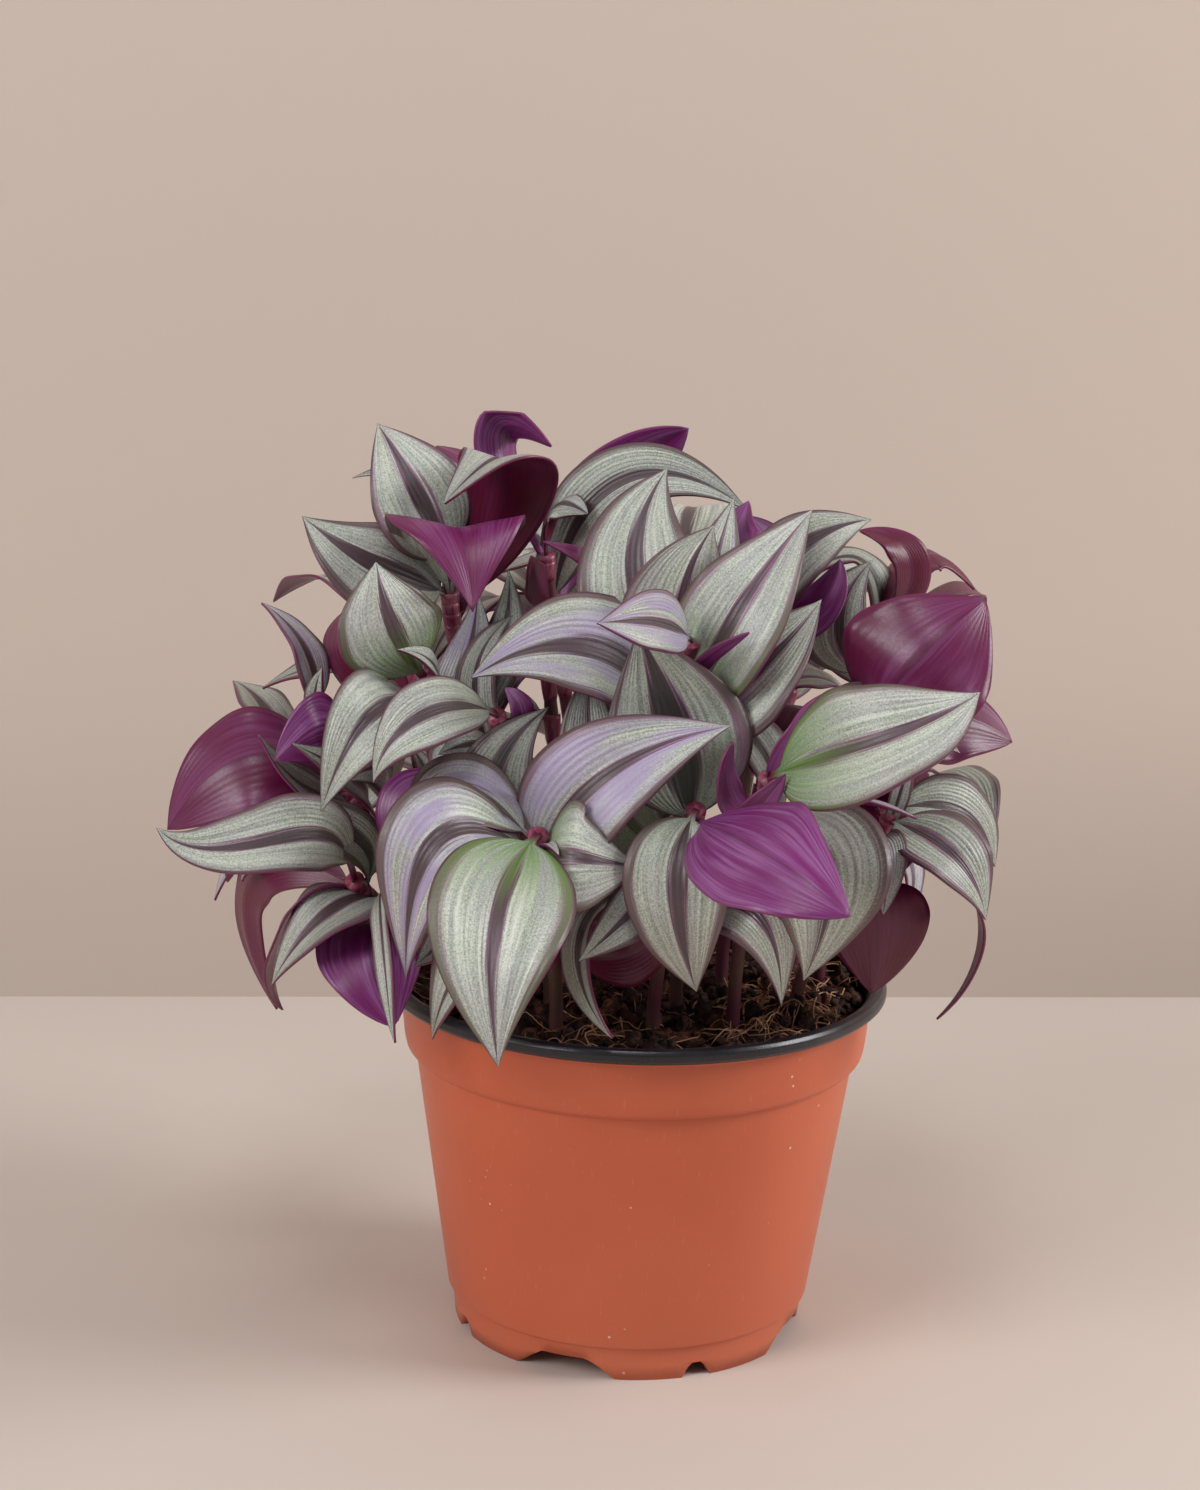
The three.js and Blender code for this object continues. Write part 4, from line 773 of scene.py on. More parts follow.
def stem_leaves(stem, draw):
    """All the leaves of one stem, the set ones first."""
    leaves = []
    if "count" in stem:
        for i in range(stem["count"]):
            down = i / (stem["count"] - 1)
            lift = RULE["lift"][0] + (RULE["lift"][1] - RULE["lift"][0]) * down
            leaves.append(ruled_leaf(stem, 1 - (1 - RULE["lowest"]) * down, RULE["turns"][i], lift, 1, draw))
        return leaves
    step = LEAF_SPACING / np.linalg.norm(stem_point(stem, 0) - stem_point(stem, 1))
    free = 1
    for f, width, roll, *points in stem["leaves"]:
        place = min(f, free)
        free = place - step
        points = [stem_point(stem, place), *points]
        hold = SMALL if width < WIDE else MAIN
        width *= FRONT_WIDEN
        leaves.append(dict(stem=stem, f=place, points=points, width=width, roll=roll, face=FRONT, hold=hold))
    for i in range(stem["fill"]):
        lift = FILL["lift"][0] + (FILL["lift"][1] - FILL["lift"][0]) * i / 2
        leaves.append(ruled_leaf(stem, FILL["highest"] - FILL["step"] * i, FILL["turns"][i], lift,
                                 FILL["shorter"], draw))
    return leaves


def unit(v):
    return v / np.linalg.norm(v, axis=-1, keepdims=True)


def half_width(half, t, tip=BLADE_TIP_HALF, rise=BLADE_RISE, fall=BLADE_FALL):
    """Half width of a blade: narrow at the sheath, widest past a third, drawn out at the tip."""
    u = np.maximum(t - BLADE_NECK, 0) / (1 - BLADE_NECK)
    peak = rise / (rise + fall)
    most = peak ** rise * (1 - peak) ** fall
    shape = u ** rise * np.maximum(1 - u, 0) ** fall / most
    least = np.minimum(BLADE_BASE_HALF + (tip - BLADE_BASE_HALF) * t, half)
    return np.maximum(half * shape, least)


def along_curve(leaf, t):
    """Points and directions at shares t of the smooth curve through a leaf's points."""
    at = np.zeros((len(t), 3))
    along = np.zeros((len(t), 3))
    for i, point in enumerate(leaf["points"]):
        weight = np.ones(len(t))
        slope = np.zeros(len(t))
        for j, knot in enumerate(leaf["knots"]):
            if j != i:
                span = leaf["knots"][i] - knot
                slope = slope * (t - knot) / span + weight / span
                weight = weight * (t - knot) / span
        at += np.outer(weight, point)
        along += np.outer(slope, point)
    return at, unit(along)


def lay(leaf):
    """Settles how a leaf lies about its midrib: it bends along it, hardly edgewise, and doesn't twist."""
    points = np.array(leaf["points"], float)
    steps = np.linalg.norm(np.diff(points, axis=0), axis=1)
    leaf["knots"] = np.concatenate([[0], np.cumsum(steps) / steps.sum()])
    _, (near, middle, far) = along_curve(leaf, np.array(EDGE_BEND_AT))
    level = unit(np.cross(middle, leaf["face"]))
    roll = math.radians(leaf["roll"])
    level = level * math.cos(roll) + np.cross(middle, level) * math.sin(roll)
    curl = unit(np.cross(points[1] - points[0], points[-1] - points[-2]))
    angle = max(math.acos(min(near @ far, 1)), 1e-6)
    radius = steps.sum() * (EDGE_BEND_AT[2] - EDGE_BEND_AT[0]) / angle
    most = min(EDGE_BEND_MOST * radius / (leaf["width"] / 2), 1)
    within = min(max(level @ np.cross(middle, curl), -most), most)
    out = math.copysign(math.sqrt(1 - within * within), level @ curl)
    leaf.update(curl=curl, out=out, within=within)


def midrib(leaf, t):
    """Points along a leaf's midrib, and its sideways and upper directions there."""
    at, along = along_curve(leaf, t)
    side = leaf["curl"] * leaf["out"] + np.cross(along, leaf["curl"]) * leaf["within"]
    side = unit(side - along * (side * along).sum(-1, keepdims=True))
    return at, side, unit(np.cross(side, along))


def at_rest(leaf, t, s):
    """A blade before it bends clear: points less its base, upper sides, sideways ways and half widths."""
    at, side, up = midrib(leaf, t)
    half = half_width(leaf["width"] / 2, t)
    cup = half[:, None] * (BLADE_FOLD * abs(s) - BLADE_ROUND * s * s)
    point = at[:, None] + side[:, None] * (half[:, None] * s)[..., None] + up[:, None] * cup[..., None]
    return point - leaf["points"][0], up, side, half


def turned(v, bend, t):
    """Vectors v turned about bend by its length times t."""
    angle = np.linalg.norm(bend, axis=-1, keepdims=True)
    axis = bend / np.maximum(angle, 1e-300)
    a = (angle * t)[..., None]
    axis = np.broadcast_to(axis[..., None, :], v.shape)
    dot = (v * axis).sum(-1, keepdims=True)
    return v * np.cos(a) + np.cross(axis, v) * np.sin(a) + axis * dot * (1 - np.cos(a))


class Wishes:
    """What each leaf is pulled towards in one round: a turn about its base, and a move from the front."""

    def __init__(self, place, base, t):
        count = len(base)
        self.place, self.base, self.t = place, base, t
        self.torque = np.zeros((count, 3))
        self.weight = np.zeros(count)
        self.away = np.zeros(count)
        self.away_weight = np.zeros(count)

    def add(self, who, which, move, strength=1.0):
        """Sample which of leaf who would like to move by move."""
        count = len(self.base)
        arm = self.place[who, which] - self.base[who]
        t = self.t[which]
        turn = (strength * t)[:, None] * np.cross(arm, move)
        for k in range(3):
            self.torque[:, k] += np.bincount(who, turn[:, k], count)
        self.weight += np.bincount(who, strength * t * t * (arm * arm).sum(-1), count)
        back = move @ VIEW_AWAY
        square = (move * move).sum(-1)
        some = square > 0
        self.away += np.bincount(who[some], (strength * t * back)[some], count)
        share = np.maximum(back[some] ** 2 / square[some], VIEW_LEAST)
        self.away_weight += np.bincount(who[some], (strength * t * t)[some] * share, count)


def push_apart(wishes, pairs, place, up, hold, owner, crossed):
    """Pushes blades apart where their samples come closer than the gap. The firmer one moves less."""
    one, two = pairs
    each = place.shape[1]
    squares = np.zeros((len(one), each, each))
    for k in range(3):
        squares += (place[one, :, None, k] - place[two, None, :, k]) ** 2
    nearest = squares.argmin(-1)
    best = np.take_along_axis(squares, nearest[..., None], -1)[..., 0]
    normal = up[two[:, None], nearest]
    height = ((place[one] - place[two[:, None], nearest]) * normal).sum(-1)
    met = (best < TOUCH ** 2) & (best - height ** 2 <= BESIDE ** 2)
    way = np.where((height * met).sum(-1) < 0, -1, 1)[:, None]
    gap = np.where(owner[one] == owner[two], OWN_GAP, GAP)[:, None]
    share = (hold[two] / (hold[one] + hold[two]))[:, None]
    met &= gap - way * height > 0
    loser = np.where((share[:, 0] > 0.5) | ((share[:, 0] == 0.5) & (one > two)), one, two)
    crossed[loser[(met & (way * height < CROSSED) & (gap == GAP)).any(-1)]] = True
    rows, columns = np.nonzero(met)
    push = normal[rows, columns] * ((gap - way * height) * way)[rows, columns, None]
    part = share[rows, 0][:, None]
    wishes.add(one[rows], columns, push * part)
    wishes.add(two[rows], nearest[rows, columns], -push * (1 - part))


def slide_off(wishes, path, place, side, half, across, own, crossed):
    """Slides blades sideways off a stem that meets them, by the shorter way to their edge."""
    low = path.min(0) - STEM_ROOM
    high = path.max(0) + STEM_ROOM
    around = np.nonzero(((place > low) & (place < high)).all(-1).any(-1))[0]
    if not len(around):
        return
    squares = ((place[around][:, :, None] - path) ** 2).sum(-1)
    squares[own[around][:, None] & (wishes.t < OWN_STEM_FREE)[None, :]] = np.inf
    flat = squares.reshape(len(around), -1)
    close = flat.min(-1) < STEM_ROOM ** 2
    who = around[close]
    which, spot = np.divmod(flat.argmin(-1)[close], len(path))
    beside = ((path[spot] - place[who, which]) * side[who, which]).sum(-1)
    reach = half[who, which]
    where = reach * across[which] + beside
    move = np.where(where < 0, reach + where + STEM_ROOM, where - reach - STEM_ROOM)
    crossed[who[abs(where) < reach]] = True
    wishes.add(who, which, side[who, which] * move[:, None], STEM_PULL)


def keep_inside(wishes, place, ruled):
    """Keeps the ruled blades within the plant's reach, and every blade off the mix and the rim."""
    who, which = np.nonzero(ruled[:, None] & np.ones(place.shape[1], bool)[None])
    p = place[who, which]
    move = np.stack([p[:, 0].clip(REACH["left"], REACH["right"]) - p[:, 0],
                     np.minimum(p[:, 1], REACH["back"]) - p[:, 1],
                     np.minimum(p[:, 2], REACH["top"]) - p[:, 2]], -1)
    some = (move != 0).any(-1)
    wishes.add(who[some], which[some], move[some])
    top = POT_HEIGHT + RIM_ROOM
    radius = np.hypot(place[..., 0], place[..., 1])
    who, which = np.nonzero((place[..., 2] < top) & (radius <= LIP_RADIUS + RIM_ROOM))
    p = place[who, which]
    r = radius[who, which]
    out = p * ((LIP_RADIUS + RIM_ROOM - r) / r)[:, None] * [1, 1, 0]
    rise = np.stack([0 * r, 0 * r, top - p[:, 2]], -1)
    wishes.add(who, which, np.where((r > LIP_RADIUS - LIP_WIDTH)[:, None], out, rise))


def bend_clear(leaves):
    """Bends every leaf, a little each round, until the blades hang clear of one another."""
    count = len(leaves)
    rest = [at_rest(leaf, STATIONS, ACROSS) for leaf in leaves]
    wide = len(ACROSS)
    offset = np.array([r[0].reshape(-1, 3) for r in rest])
    up0 = np.array([np.repeat(r[1], wide, 0) for r in rest])
    side0 = np.array([np.repeat(r[2], wide, 0) for r in rest])
    half = np.array([np.repeat(r[3], wide) for r in rest])
    t = np.repeat(STATIONS, wide)
    across = np.tile(ACROSS, len(STATIONS))
    base = np.array([leaf["points"][0] for leaf in leaves], float)
    hold = np.array([leaf["hold"] for leaf in leaves])
    names = [stem["name"] for stem in ALL_STEMS]
    owner = np.array([names.index(leaf["stem"]["name"]) for leaf in leaves])
    most_bend = np.array([MOST_BEND[h] for h in hold])
    most_shift = np.array([MOST_SHIFT[h] for h in hold], float)
    paths = []
    for stem in ALL_STEMS:
        steps = math.ceil((stem["stem"][1][2] - FREE_HEIGHT) / PATH_STEP)
        paths.append(stem_point(stem, np.arange(steps + 1) / steps))
    bend = np.zeros((count, 3))
    shift = np.zeros(count)
    size = np.ones(count)
    first, second = np.nonzero(~np.eye(count, dtype=bool))
    every_t = np.broadcast_to(t, (count, len(t)))
    for turn in range(ROUNDS):
        place = turned(offset * size[:, None, None], bend, every_t) + base[:, None]
        place = place + VIEW_AWAY * (shift[:, None] * t)[..., None]
        up = turned(up0, bend, every_t)
        side = turned(side0, bend, every_t)
        wishes = Wishes(place, base, t)
        crossed = np.zeros(count, bool)
        centre = place.mean(1)
        radius = np.linalg.norm(place - centre[:, None], axis=-1).max(1)
        low, high = place.min(1) - TOUCH / 2, place.max(1) + TOUCH / 2
        apart = np.linalg.norm(centre[first] - centre[second], axis=-1)
        near = apart <= radius[first] + radius[second] + GAP
        near &= ((low[first] < high[second]) & (low[second] < high[first])).all(-1)
        push_apart(wishes, (first[near], second[near]), place, up, hold, owner, crossed)
        for k, path in enumerate(paths):
            slide_off(wishes, path, place, side, half, across, owner == k, crossed)
        keep_inside(wishes, place, hold == RULED)
        if turn > SHRINK_AFTER:
            size = np.where(crossed, np.maximum(size * SHRINK, SHRINK_LEAST), size)
        bend = bend * RELAX
        pulled = wishes.weight > 0
        bend[pulled] += wishes.torque[pulled] * (STEP / wishes.weight[pulled])[:, None]
        length = np.maximum(np.linalg.norm(bend, axis=-1), 1e-12)
        bend *= np.minimum(most_bend / length, 1)[:, None]
        pulled = wishes.away_weight > 0
        shift[pulled] = shift[pulled] * RELAX + STEP * wishes.away[pulled] / wishes.away_weight[pulled]
        shift = shift.clip(-most_shift, most_shift)
    for k, leaf in enumerate(leaves):
        leaf.update(bend=bend[k], shift=shift[k], size=size[k])


def shows_underside(leaf):
    """Whether the middle of a leaf, as it hangs, turns its underside to the front."""
    t = np.array([[LEAF_MIDDLE]])
    _, up, _, _ = at_rest(leaf, t[0], np.array([0.0]))
    return turned(up[None], leaf["bend"][None], t)[0, 0] @ VIEW_AWAY > 0


def hang_leaves():
    """Each stem with its leaves, their colours, and the bends that bring them clear of one another."""
    draw = draws(RULE["seed"])
    leaves = [leaf for stem in ALL_STEMS for leaf in stem_leaves(stem, draw)]
    for leaf in leaves:
        lay(leaf)
    bend_clear(leaves)
    hung = []
    for stem in ALL_STEMS:
        own = [leaf for leaf in leaves if leaf["stem"] is stem]
        hung.append((stem, own))
        looks = stem.get("looks", "")
        ruled = len(stem["name"])
        for k, leaf in enumerate(own):
            chosen = k < len(looks)
            leaf["look"] = looks[k] if chosen else RULED_LOOKS[(k + ruled) % len(RULED_LOOKS)]
            leaf["size"] *= SHORTER.get(stem["name"], {}).get(k, 1)
            leaf["flipped"] = chosen and shows_underside(leaf) != (leaf["look"] in UNDERSIDE_LOOKS)
    return hung


# ---------------------------------------------------------------- making blades and stems

def linked(verts, kind):
    """The faces or edges at some vertices, each once and in a steady order."""
    return list(dict.fromkeys(item for v in verts for item in getattr(v, "link_" + kind)))


def add_blade(bm, leaf, layers, seed):
    """One blade: a grid bent along its midrib, cupped, with wavy edges and a fine tip."""
    uv, look, number = layers
    made = bmesh.ops.create_grid(bm, x_segments=BLADE_COLUMNS, y_segments=BLADE_ROWS, size=1)["verts"]
    s = np.array([v.co.x for v in made])
    t = np.array([(v.co.y + 1) / 2 for v in made])
    at, side, up = midrib(leaf, t)
    phase = math.tau * seed
    fall = FINE_FALL[leaf["look"] in UNDERSIDE_LOOKS]
    half = half_width(leaf["width"] * FULLER[leaf["hold"]] / 2, t, FINE_TIP_HALF, FINE_RISE, fall)
    half = half * (1 + UNEVEN[0] * np.sign(s) * np.sin(UNEVEN[1] * t + phase))
    rounded = np.sqrt(s * s + SOFT_FOLD) - math.sqrt(SOFT_FOLD)
    cup = half * (BLADE_FOLD * rounded - BLADE_ROUND * s * s)
    wave = sum(size * np.sin(turns * t + phase + WAVE_SIDES_APART * np.sign(s)) for size, turns in EDGE_WAVES)
    wave = wave * half * np.abs(s) ** WAVE_AT_EDGE * np.sin(math.pi * t)
    point = at + side * (half * s)[:, None] + up * (cup + wave)[:, None] - leaf["points"][0]
    point = turned((point * leaf["size"])[None], leaf["bend"][None], t[None])[0]
    point += leaf["points"][0] + VIEW_AWAY * (leaf["shift"] * t)[:, None]
    inside = np.clip(rows_in_frame(point), CAD_LOW, CAD_HIGH)
    for v, place, across, along in zip(made, inside, s, t):
        v.co = place
        v[look] = LOOKS[leaf["look"]]
        v[number] = seed * SEED_SPREAD
        for loop in v.link_loops:
            loop[uv].uv = ((across + 1) / 2, along)
    if leaf["flipped"]:
        bmesh.ops.reverse_faces(bm, faces=linked(made, "faces"))


def add_tube(bm, centres, radii, sides, material=0, layer=None, tone=0.0):
    """A closed tube through centres, started from a circle and extruded ring by ring."""
    centres = [Vector(c) for c in centres]
    rings = [bmesh.ops.create_circle(bm, segments=sides, radius=1)["verts"]]
    edges = linked(rings[0], "edges")
    for _ in centres[1:]:
        grown = bmesh.ops.extrude_edge_only(bm, edges=edges)["geom"]
        edges = [g for g in grown if isinstance(g, bmesh.types.BMEdge)]
        rings.append([g for g in grown if isinstance(g, bmesh.types.BMVert)])
    turn = None
    for k, (ring, centre, radius) in enumerate(zip(rings, centres, radii)):
        ahead = centres[min(k + 1, len(centres) - 1)] - centres[max(k - 1, 0)]
        if turn is None:
            turn = ahead.to_track_quat("Z", "Y")
        else:
            turn = (turn @ Vector((0, 0, 1))).rotation_difference(ahead) @ turn
        for v in ring:
            v.co = centre + turn @ (v.co * radius)
            if layer is not None:
                v[layer] = tone
    faces = linked([v for ring in rings for v in ring], "faces")
    ends = [edge for edge in linked(rings[0] + rings[-1], "edges") if edge.is_boundary]
    faces += bmesh.ops.holes_fill(bm, edges=ends, sides=0)["faces"]
    for face in faces:
        face.material_index = material
    bmesh.ops.recalc_face_normals(bm, faces=faces)


def add_hairs(bm, centre, ahead, radius, chance):
    """A few soft hairs at the mouth of a sheath."""
    turn = ahead.to_track_quat("Z", "Y")
    for _ in range(HAIRS_PER_SHEATH):
        angle = chance.uniform(0, math.tau)
        round_it = Vector((math.cos(angle), math.sin(angle), 0))
        out = turn @ (round_it + Vector((0, 0, chance.uniform(*HAIR_LEAN)))).normalized()
        length = chance.uniform(*HAIR_LENGTH) * MM
        middle = centre + turn @ (round_it * radius) + out * length / 2
        place = Matrix.Translation(middle) @ out.to_track_quat("Z", "Y").to_matrix().to_4x4()
        hair = bmesh.ops.create_cone(bm, cap_ends=True, segments=HAIR_SIDES, radius1=HAIR_RADII[0] * MM,
                                     radius2=HAIR_RADII[1] * MM, depth=length, matrix=place)["verts"]
        for face in linked(hair, "faces"):
            face.material_index = HAIR_SKIN


def make_stem(stem, leaves, materials):
    """One stem with its swollen nodes, the sheath below each leaf, and soft hairs at the sheaths' mouths."""
    bm = bmesh.new()
    share = np.linspace(0, 1, STEM_RINGS)
    x, y = stem["root"]
    buried = [(x, y, MIX_TOP - STEM_DEPTH), (x, y, MIX_TOP - STEM_DEPTH / 2)]
    centres = np.concatenate([buried, stem_point(stem, share)])
    radii = []
    nodes = [leaf["f"] for leaf in leaves if leaf["hold"] == RULED]
    for f in [0] * len(buried) + list(share):
        swell = sum(math.exp(-((f - node) / SWELL["reach"]) ** 2) for node in nodes)
        taper = max(f - TAPER_FROM, 0) / (1 - TAPER_FROM)
        slim = STEM_RADIUS + (STEM_TIP_RADIUS - STEM_RADIUS) * taper
        radii.append((slim + SWELL["more"] * min(swell, 1)) * MM)
    add_tube(bm, rows_in_frame(centres), radii, STEM_SIDES)
    chance = random.Random(stem["name"])
    free = np.linalg.norm(stem_point(stem, 0) - stem_point(stem, 1))
    flare = np.linspace(0, 1, SHEATH_RINGS) ** SHEATH_FLARE
    for leaf in leaves:
        below, mouth = SHEATHS["young" if leaf["width"] < YOUNG_WIDTH else "grown"]
        low, high = max(leaf["f"] - below / free, 0), min(leaf["f"] + SHEATH_ABOVE / free, 1)
        path = rows_in_frame(stem_point(stem, np.linspace(low, high, SHEATH_RINGS)))
        widths = (SHEATH_FOOT + (mouth - SHEATH_FOOT) * flare) * MM
        add_tube(bm, path, widths, STEM_SIDES, material=SHEATH_SKIN)
        add_hairs(bm, Vector(path[-1]), Vector(path[-1] - path[-2]), widths[-1], chance)
    return finish_piece(stem["name"].replace("stem_", "stalk_"), bm, materials, stem["name"])


def make_blades(stem, leaves, materials):
    """The blades of one stem, as thin shells with an upper side and an underside."""
    bm = bmesh.new()
    verts = bm.verts.layers
    layers = bm.loops.layers.uv.new("UVMap"), verts.float_color.new("leaf_look"), verts.float.new("leaf_seed")
    chance = random.Random(stem["name"] + "_leaves")
    for leaf in leaves:
        add_blade(bm, leaf, layers, chance.random())
    piece = finish_piece(stem["name"].replace("stem_", "leaves_"), bm, materials, stem["name"])
    shell = piece.modifiers.new("thickness", "SOLIDIFY")
    shell.thickness = BLADE_THICKNESS * MM
    shell.offset = 0
    shell.material_offset = 1
    shell.material_offset_rim = 1
    return piece


# ---------------------------------------------------------------- pot and potting mix

def spin_section(bm, section, steps, merge, closed):
    """Spins a section, given as radii and heights, all the way round the pot's axis."""
    outline = [bm.verts.new((r * MM, 0, z * MM)) for r, z in section]
    for a, b in zip(outline, outline[1:] + outline[:closed]):
        bm.edges.new((a, b))
    if closed:
        rounded = [v for v in outline if v.co.x > SHARP_WITHIN[0] * MM and v.co.z > SHARP_WITHIN[1] * MM]
        bmesh.ops.bevel(bm, geom=rounded, offset=POT_ROUNDING * MM, segments=2, profile=0.5,
                        affect="VERTICES", material=-1)
    bmesh.ops.spin(bm, geom=bm.verts[:] + bm.edges[:], cent=(0, 0, 0), axis=(0, 0, 1), angle=math.tau,
                   steps=steps, use_merge=True)
    bmesh.ops.remove_doubles(bm, verts=bm.verts[:], dist=merge * MM)
    bmesh.ops.recalc_face_normals(bm, faces=bm.faces[:])


def notch_height(angle):
    """How high the foot ring is cut away at a place round the pot, in degrees."""
    height = 0.0
    for shape in (WIDE_NOTCH, SMALL_NOTCH):
        for k in range(NOTCH_COUNT):
            off = abs((angle - shape["first"] - 360 / NOTCH_COUNT * k + 180) % 360 - 180)
            slope = (shape["half_low"] - off) / (shape["half_low"] - shape["half_high"])
            height = max(height, shape["height"] * min(max(slope, 0), 1))
    return height


def is_lining(face):
    """Whether a face of the pot is black plastic: the lip, the inside of the wall or the top of the floor."""
    middle = face.calc_center_median()
    radius, height = math.hypot(middle.x, middle.y) / MM, middle.z / MM
    inside = face.normal.x * middle.x + face.normal.y * middle.y < 0 and height > LINING_FROM
    return inside or height > LIP_BOTTOM or (height > FLOOR_TOP[1] and radius < FLOOR_TOP[0])


def make_pot(look):
    """The pot: its section spun round, its foot ring notched, and drain holes cut through the floor."""
    bm = bmesh.new()
    spin_section(bm, POT_WALL + POT_FOOT, POT_STEPS, merge=0.01, closed=True)
    for v in bm.verts:
        if v.co.z < FOOT_RING[1] * MM and v.co.xy.length > FOOT_RING[0] * MM:
            v.co.z = max(v.co.z, notch_height(math.degrees(math.atan2(v.co.y, v.co.x))) * MM)
    for face in bm.faces:
        face.material_index = int(is_lining(face))
    bmesh.ops.translate(bm, verts=bm.verts[:], vec=in_frame((0, 0, 0)))
    pot = finish_piece("pot_shell", bm, [pot_shell(look), pot_lining(look)], "pot")
    bm = bmesh.new()
    for k in range(DRAINS):
        angle = math.tau * k / DRAINS
        x, y = DRAIN_RING * math.cos(angle), DRAIN_RING * math.sin(angle)
        place = in_frame((x, y, FLOOR_HEIGHT + FLOOR_THICKNESS / 2))
        bmesh.ops.create_cone(bm, cap_ends=True, segments=DRAIN_SIDES, radius1=DRAIN_RADIUS * MM,
                              radius2=DRAIN_RADIUS * MM, depth=DRAIN_CUT * MM,
                              matrix=Matrix.Translation(place))
    drill = make_object("drain_cutter", bm)
    cut = pot.modifiers.new("drain_holes", "BOOLEAN")
    cut.object = drill
    cut.solver = "EXACT"
    graph = bpy.context.evaluated_depsgraph_get()
    made = bpy.data.meshes.new_from_object(pot.evaluated_get(graph))
    pot.modifiers.clear()
    pot.data = made
    bpy.data.objects.remove(drill)
    return pot


def mix_height(x, y):
    """Height of the mix at a place: a low mound with broad lumps, heaped a little at the right."""
    mound = MOUND * (1 - (x * x + y * y) / LIP_RADIUS ** 2)
    broad, slanted = BROAD_LUMPS, SLANTED_LUMPS
    lumps = broad["height"] * math.sin(broad["x"] * x + broad["start"]) * math.cos(broad["y"] * y)
    lumps += slanted["height"] * math.sin(slanted["x"] * x + slanted["y"] * y)
    heap = HEAP["height"] * math.exp(-((x - HEAP["x"]) ** 2 + (y - HEAP["y"]) ** 2) / HEAP["spread"])
    return MIX_TOP + mound + lumps + heap - LUMPS_SINK


def make_mix(look):
    """The potting mix: its section spun round, with a lumpy top."""
    bm = bmesh.new()
    top = [(MIX_EDGE * (1 - k / MIX_RINGS), MIX_TOP) for k in range(MIX_RINGS)] + [(MIX_AXIS, MIX_TOP)]
    spin_section(bm, MIX_SIDE + top, MIX_STEPS, merge=0.05, closed=False)
    for v in bm.verts:
        x, y, z = v.co / MM
        if z > ROUGH_FROM:
            rough = noise.fractal(Vector((x, y, 0)) * ROUGH["scale"], *ROUGH["fineness"]) * ROUGH["height"]
            grit = abs(noise.noise(Vector((x, y, GRIT["level"])) * GRIT["scale"])) * GRIT["height"]
            v.co.z = (mix_height(x, y) + rough + grit - ROUGH_SINK) * MM
    bmesh.ops.translate(bm, verts=bm.verts[:], vec=in_frame((0, 0, 0)))
    return finish_piece("peat", bm, [peat_skin(look)], "potting_mix")


def in_circle(chance, radius):
    """A place drawn evenly over a circle."""
    r = radius * math.sqrt(chance.random())
    angle = chance.uniform(0, math.tau)
    return r * math.cos(angle), r * math.sin(angle)


def make_crumbs(look):
    """Loose crumbs of peat and coir on top of the mix."""
    bm = bmesh.new()
    chance = random.Random(CRUMB_SEED)
    for _ in range(CRUMBS):
        x, y = in_circle(chance, CRUMB_RING)
        radius = CRUMB_RADIUS[0] + CRUMB_RADIUS[1] * chance.random() ** CRUMB_SMALL
        z = mix_height(x, y) + CRUMB_LIFT + radius * chance.uniform(*CRUMB_STACK)
        finer = 2 if radius > CRUMB_ROUND_FROM else 1
        lump = bmesh.ops.create_icosphere(bm, subdivisions=finer, radius=radius * MM)["verts"]
        for v in lump:
            v.co *= 1 + CRUMB_ROUGHNESS * chance.uniform(-1, 1)
        stretch = Matrix.Diagonal([chance.uniform(*pair) for pair in CRUMB_STRETCH] + [1])
        spin = chance.uniform(0, math.tau)
        turn = Matrix.Rotation(spin, 4, Vector((chance.gauss(0, 1), chance.gauss(0, 1), 1)))
        place = Matrix.Translation(in_frame((x, y, z)))
        bmesh.ops.transform(bm, matrix=place @ turn @ stretch, verts=lump)
    return finish_piece("peat_crumbs", bm, [peat_skin(look)])


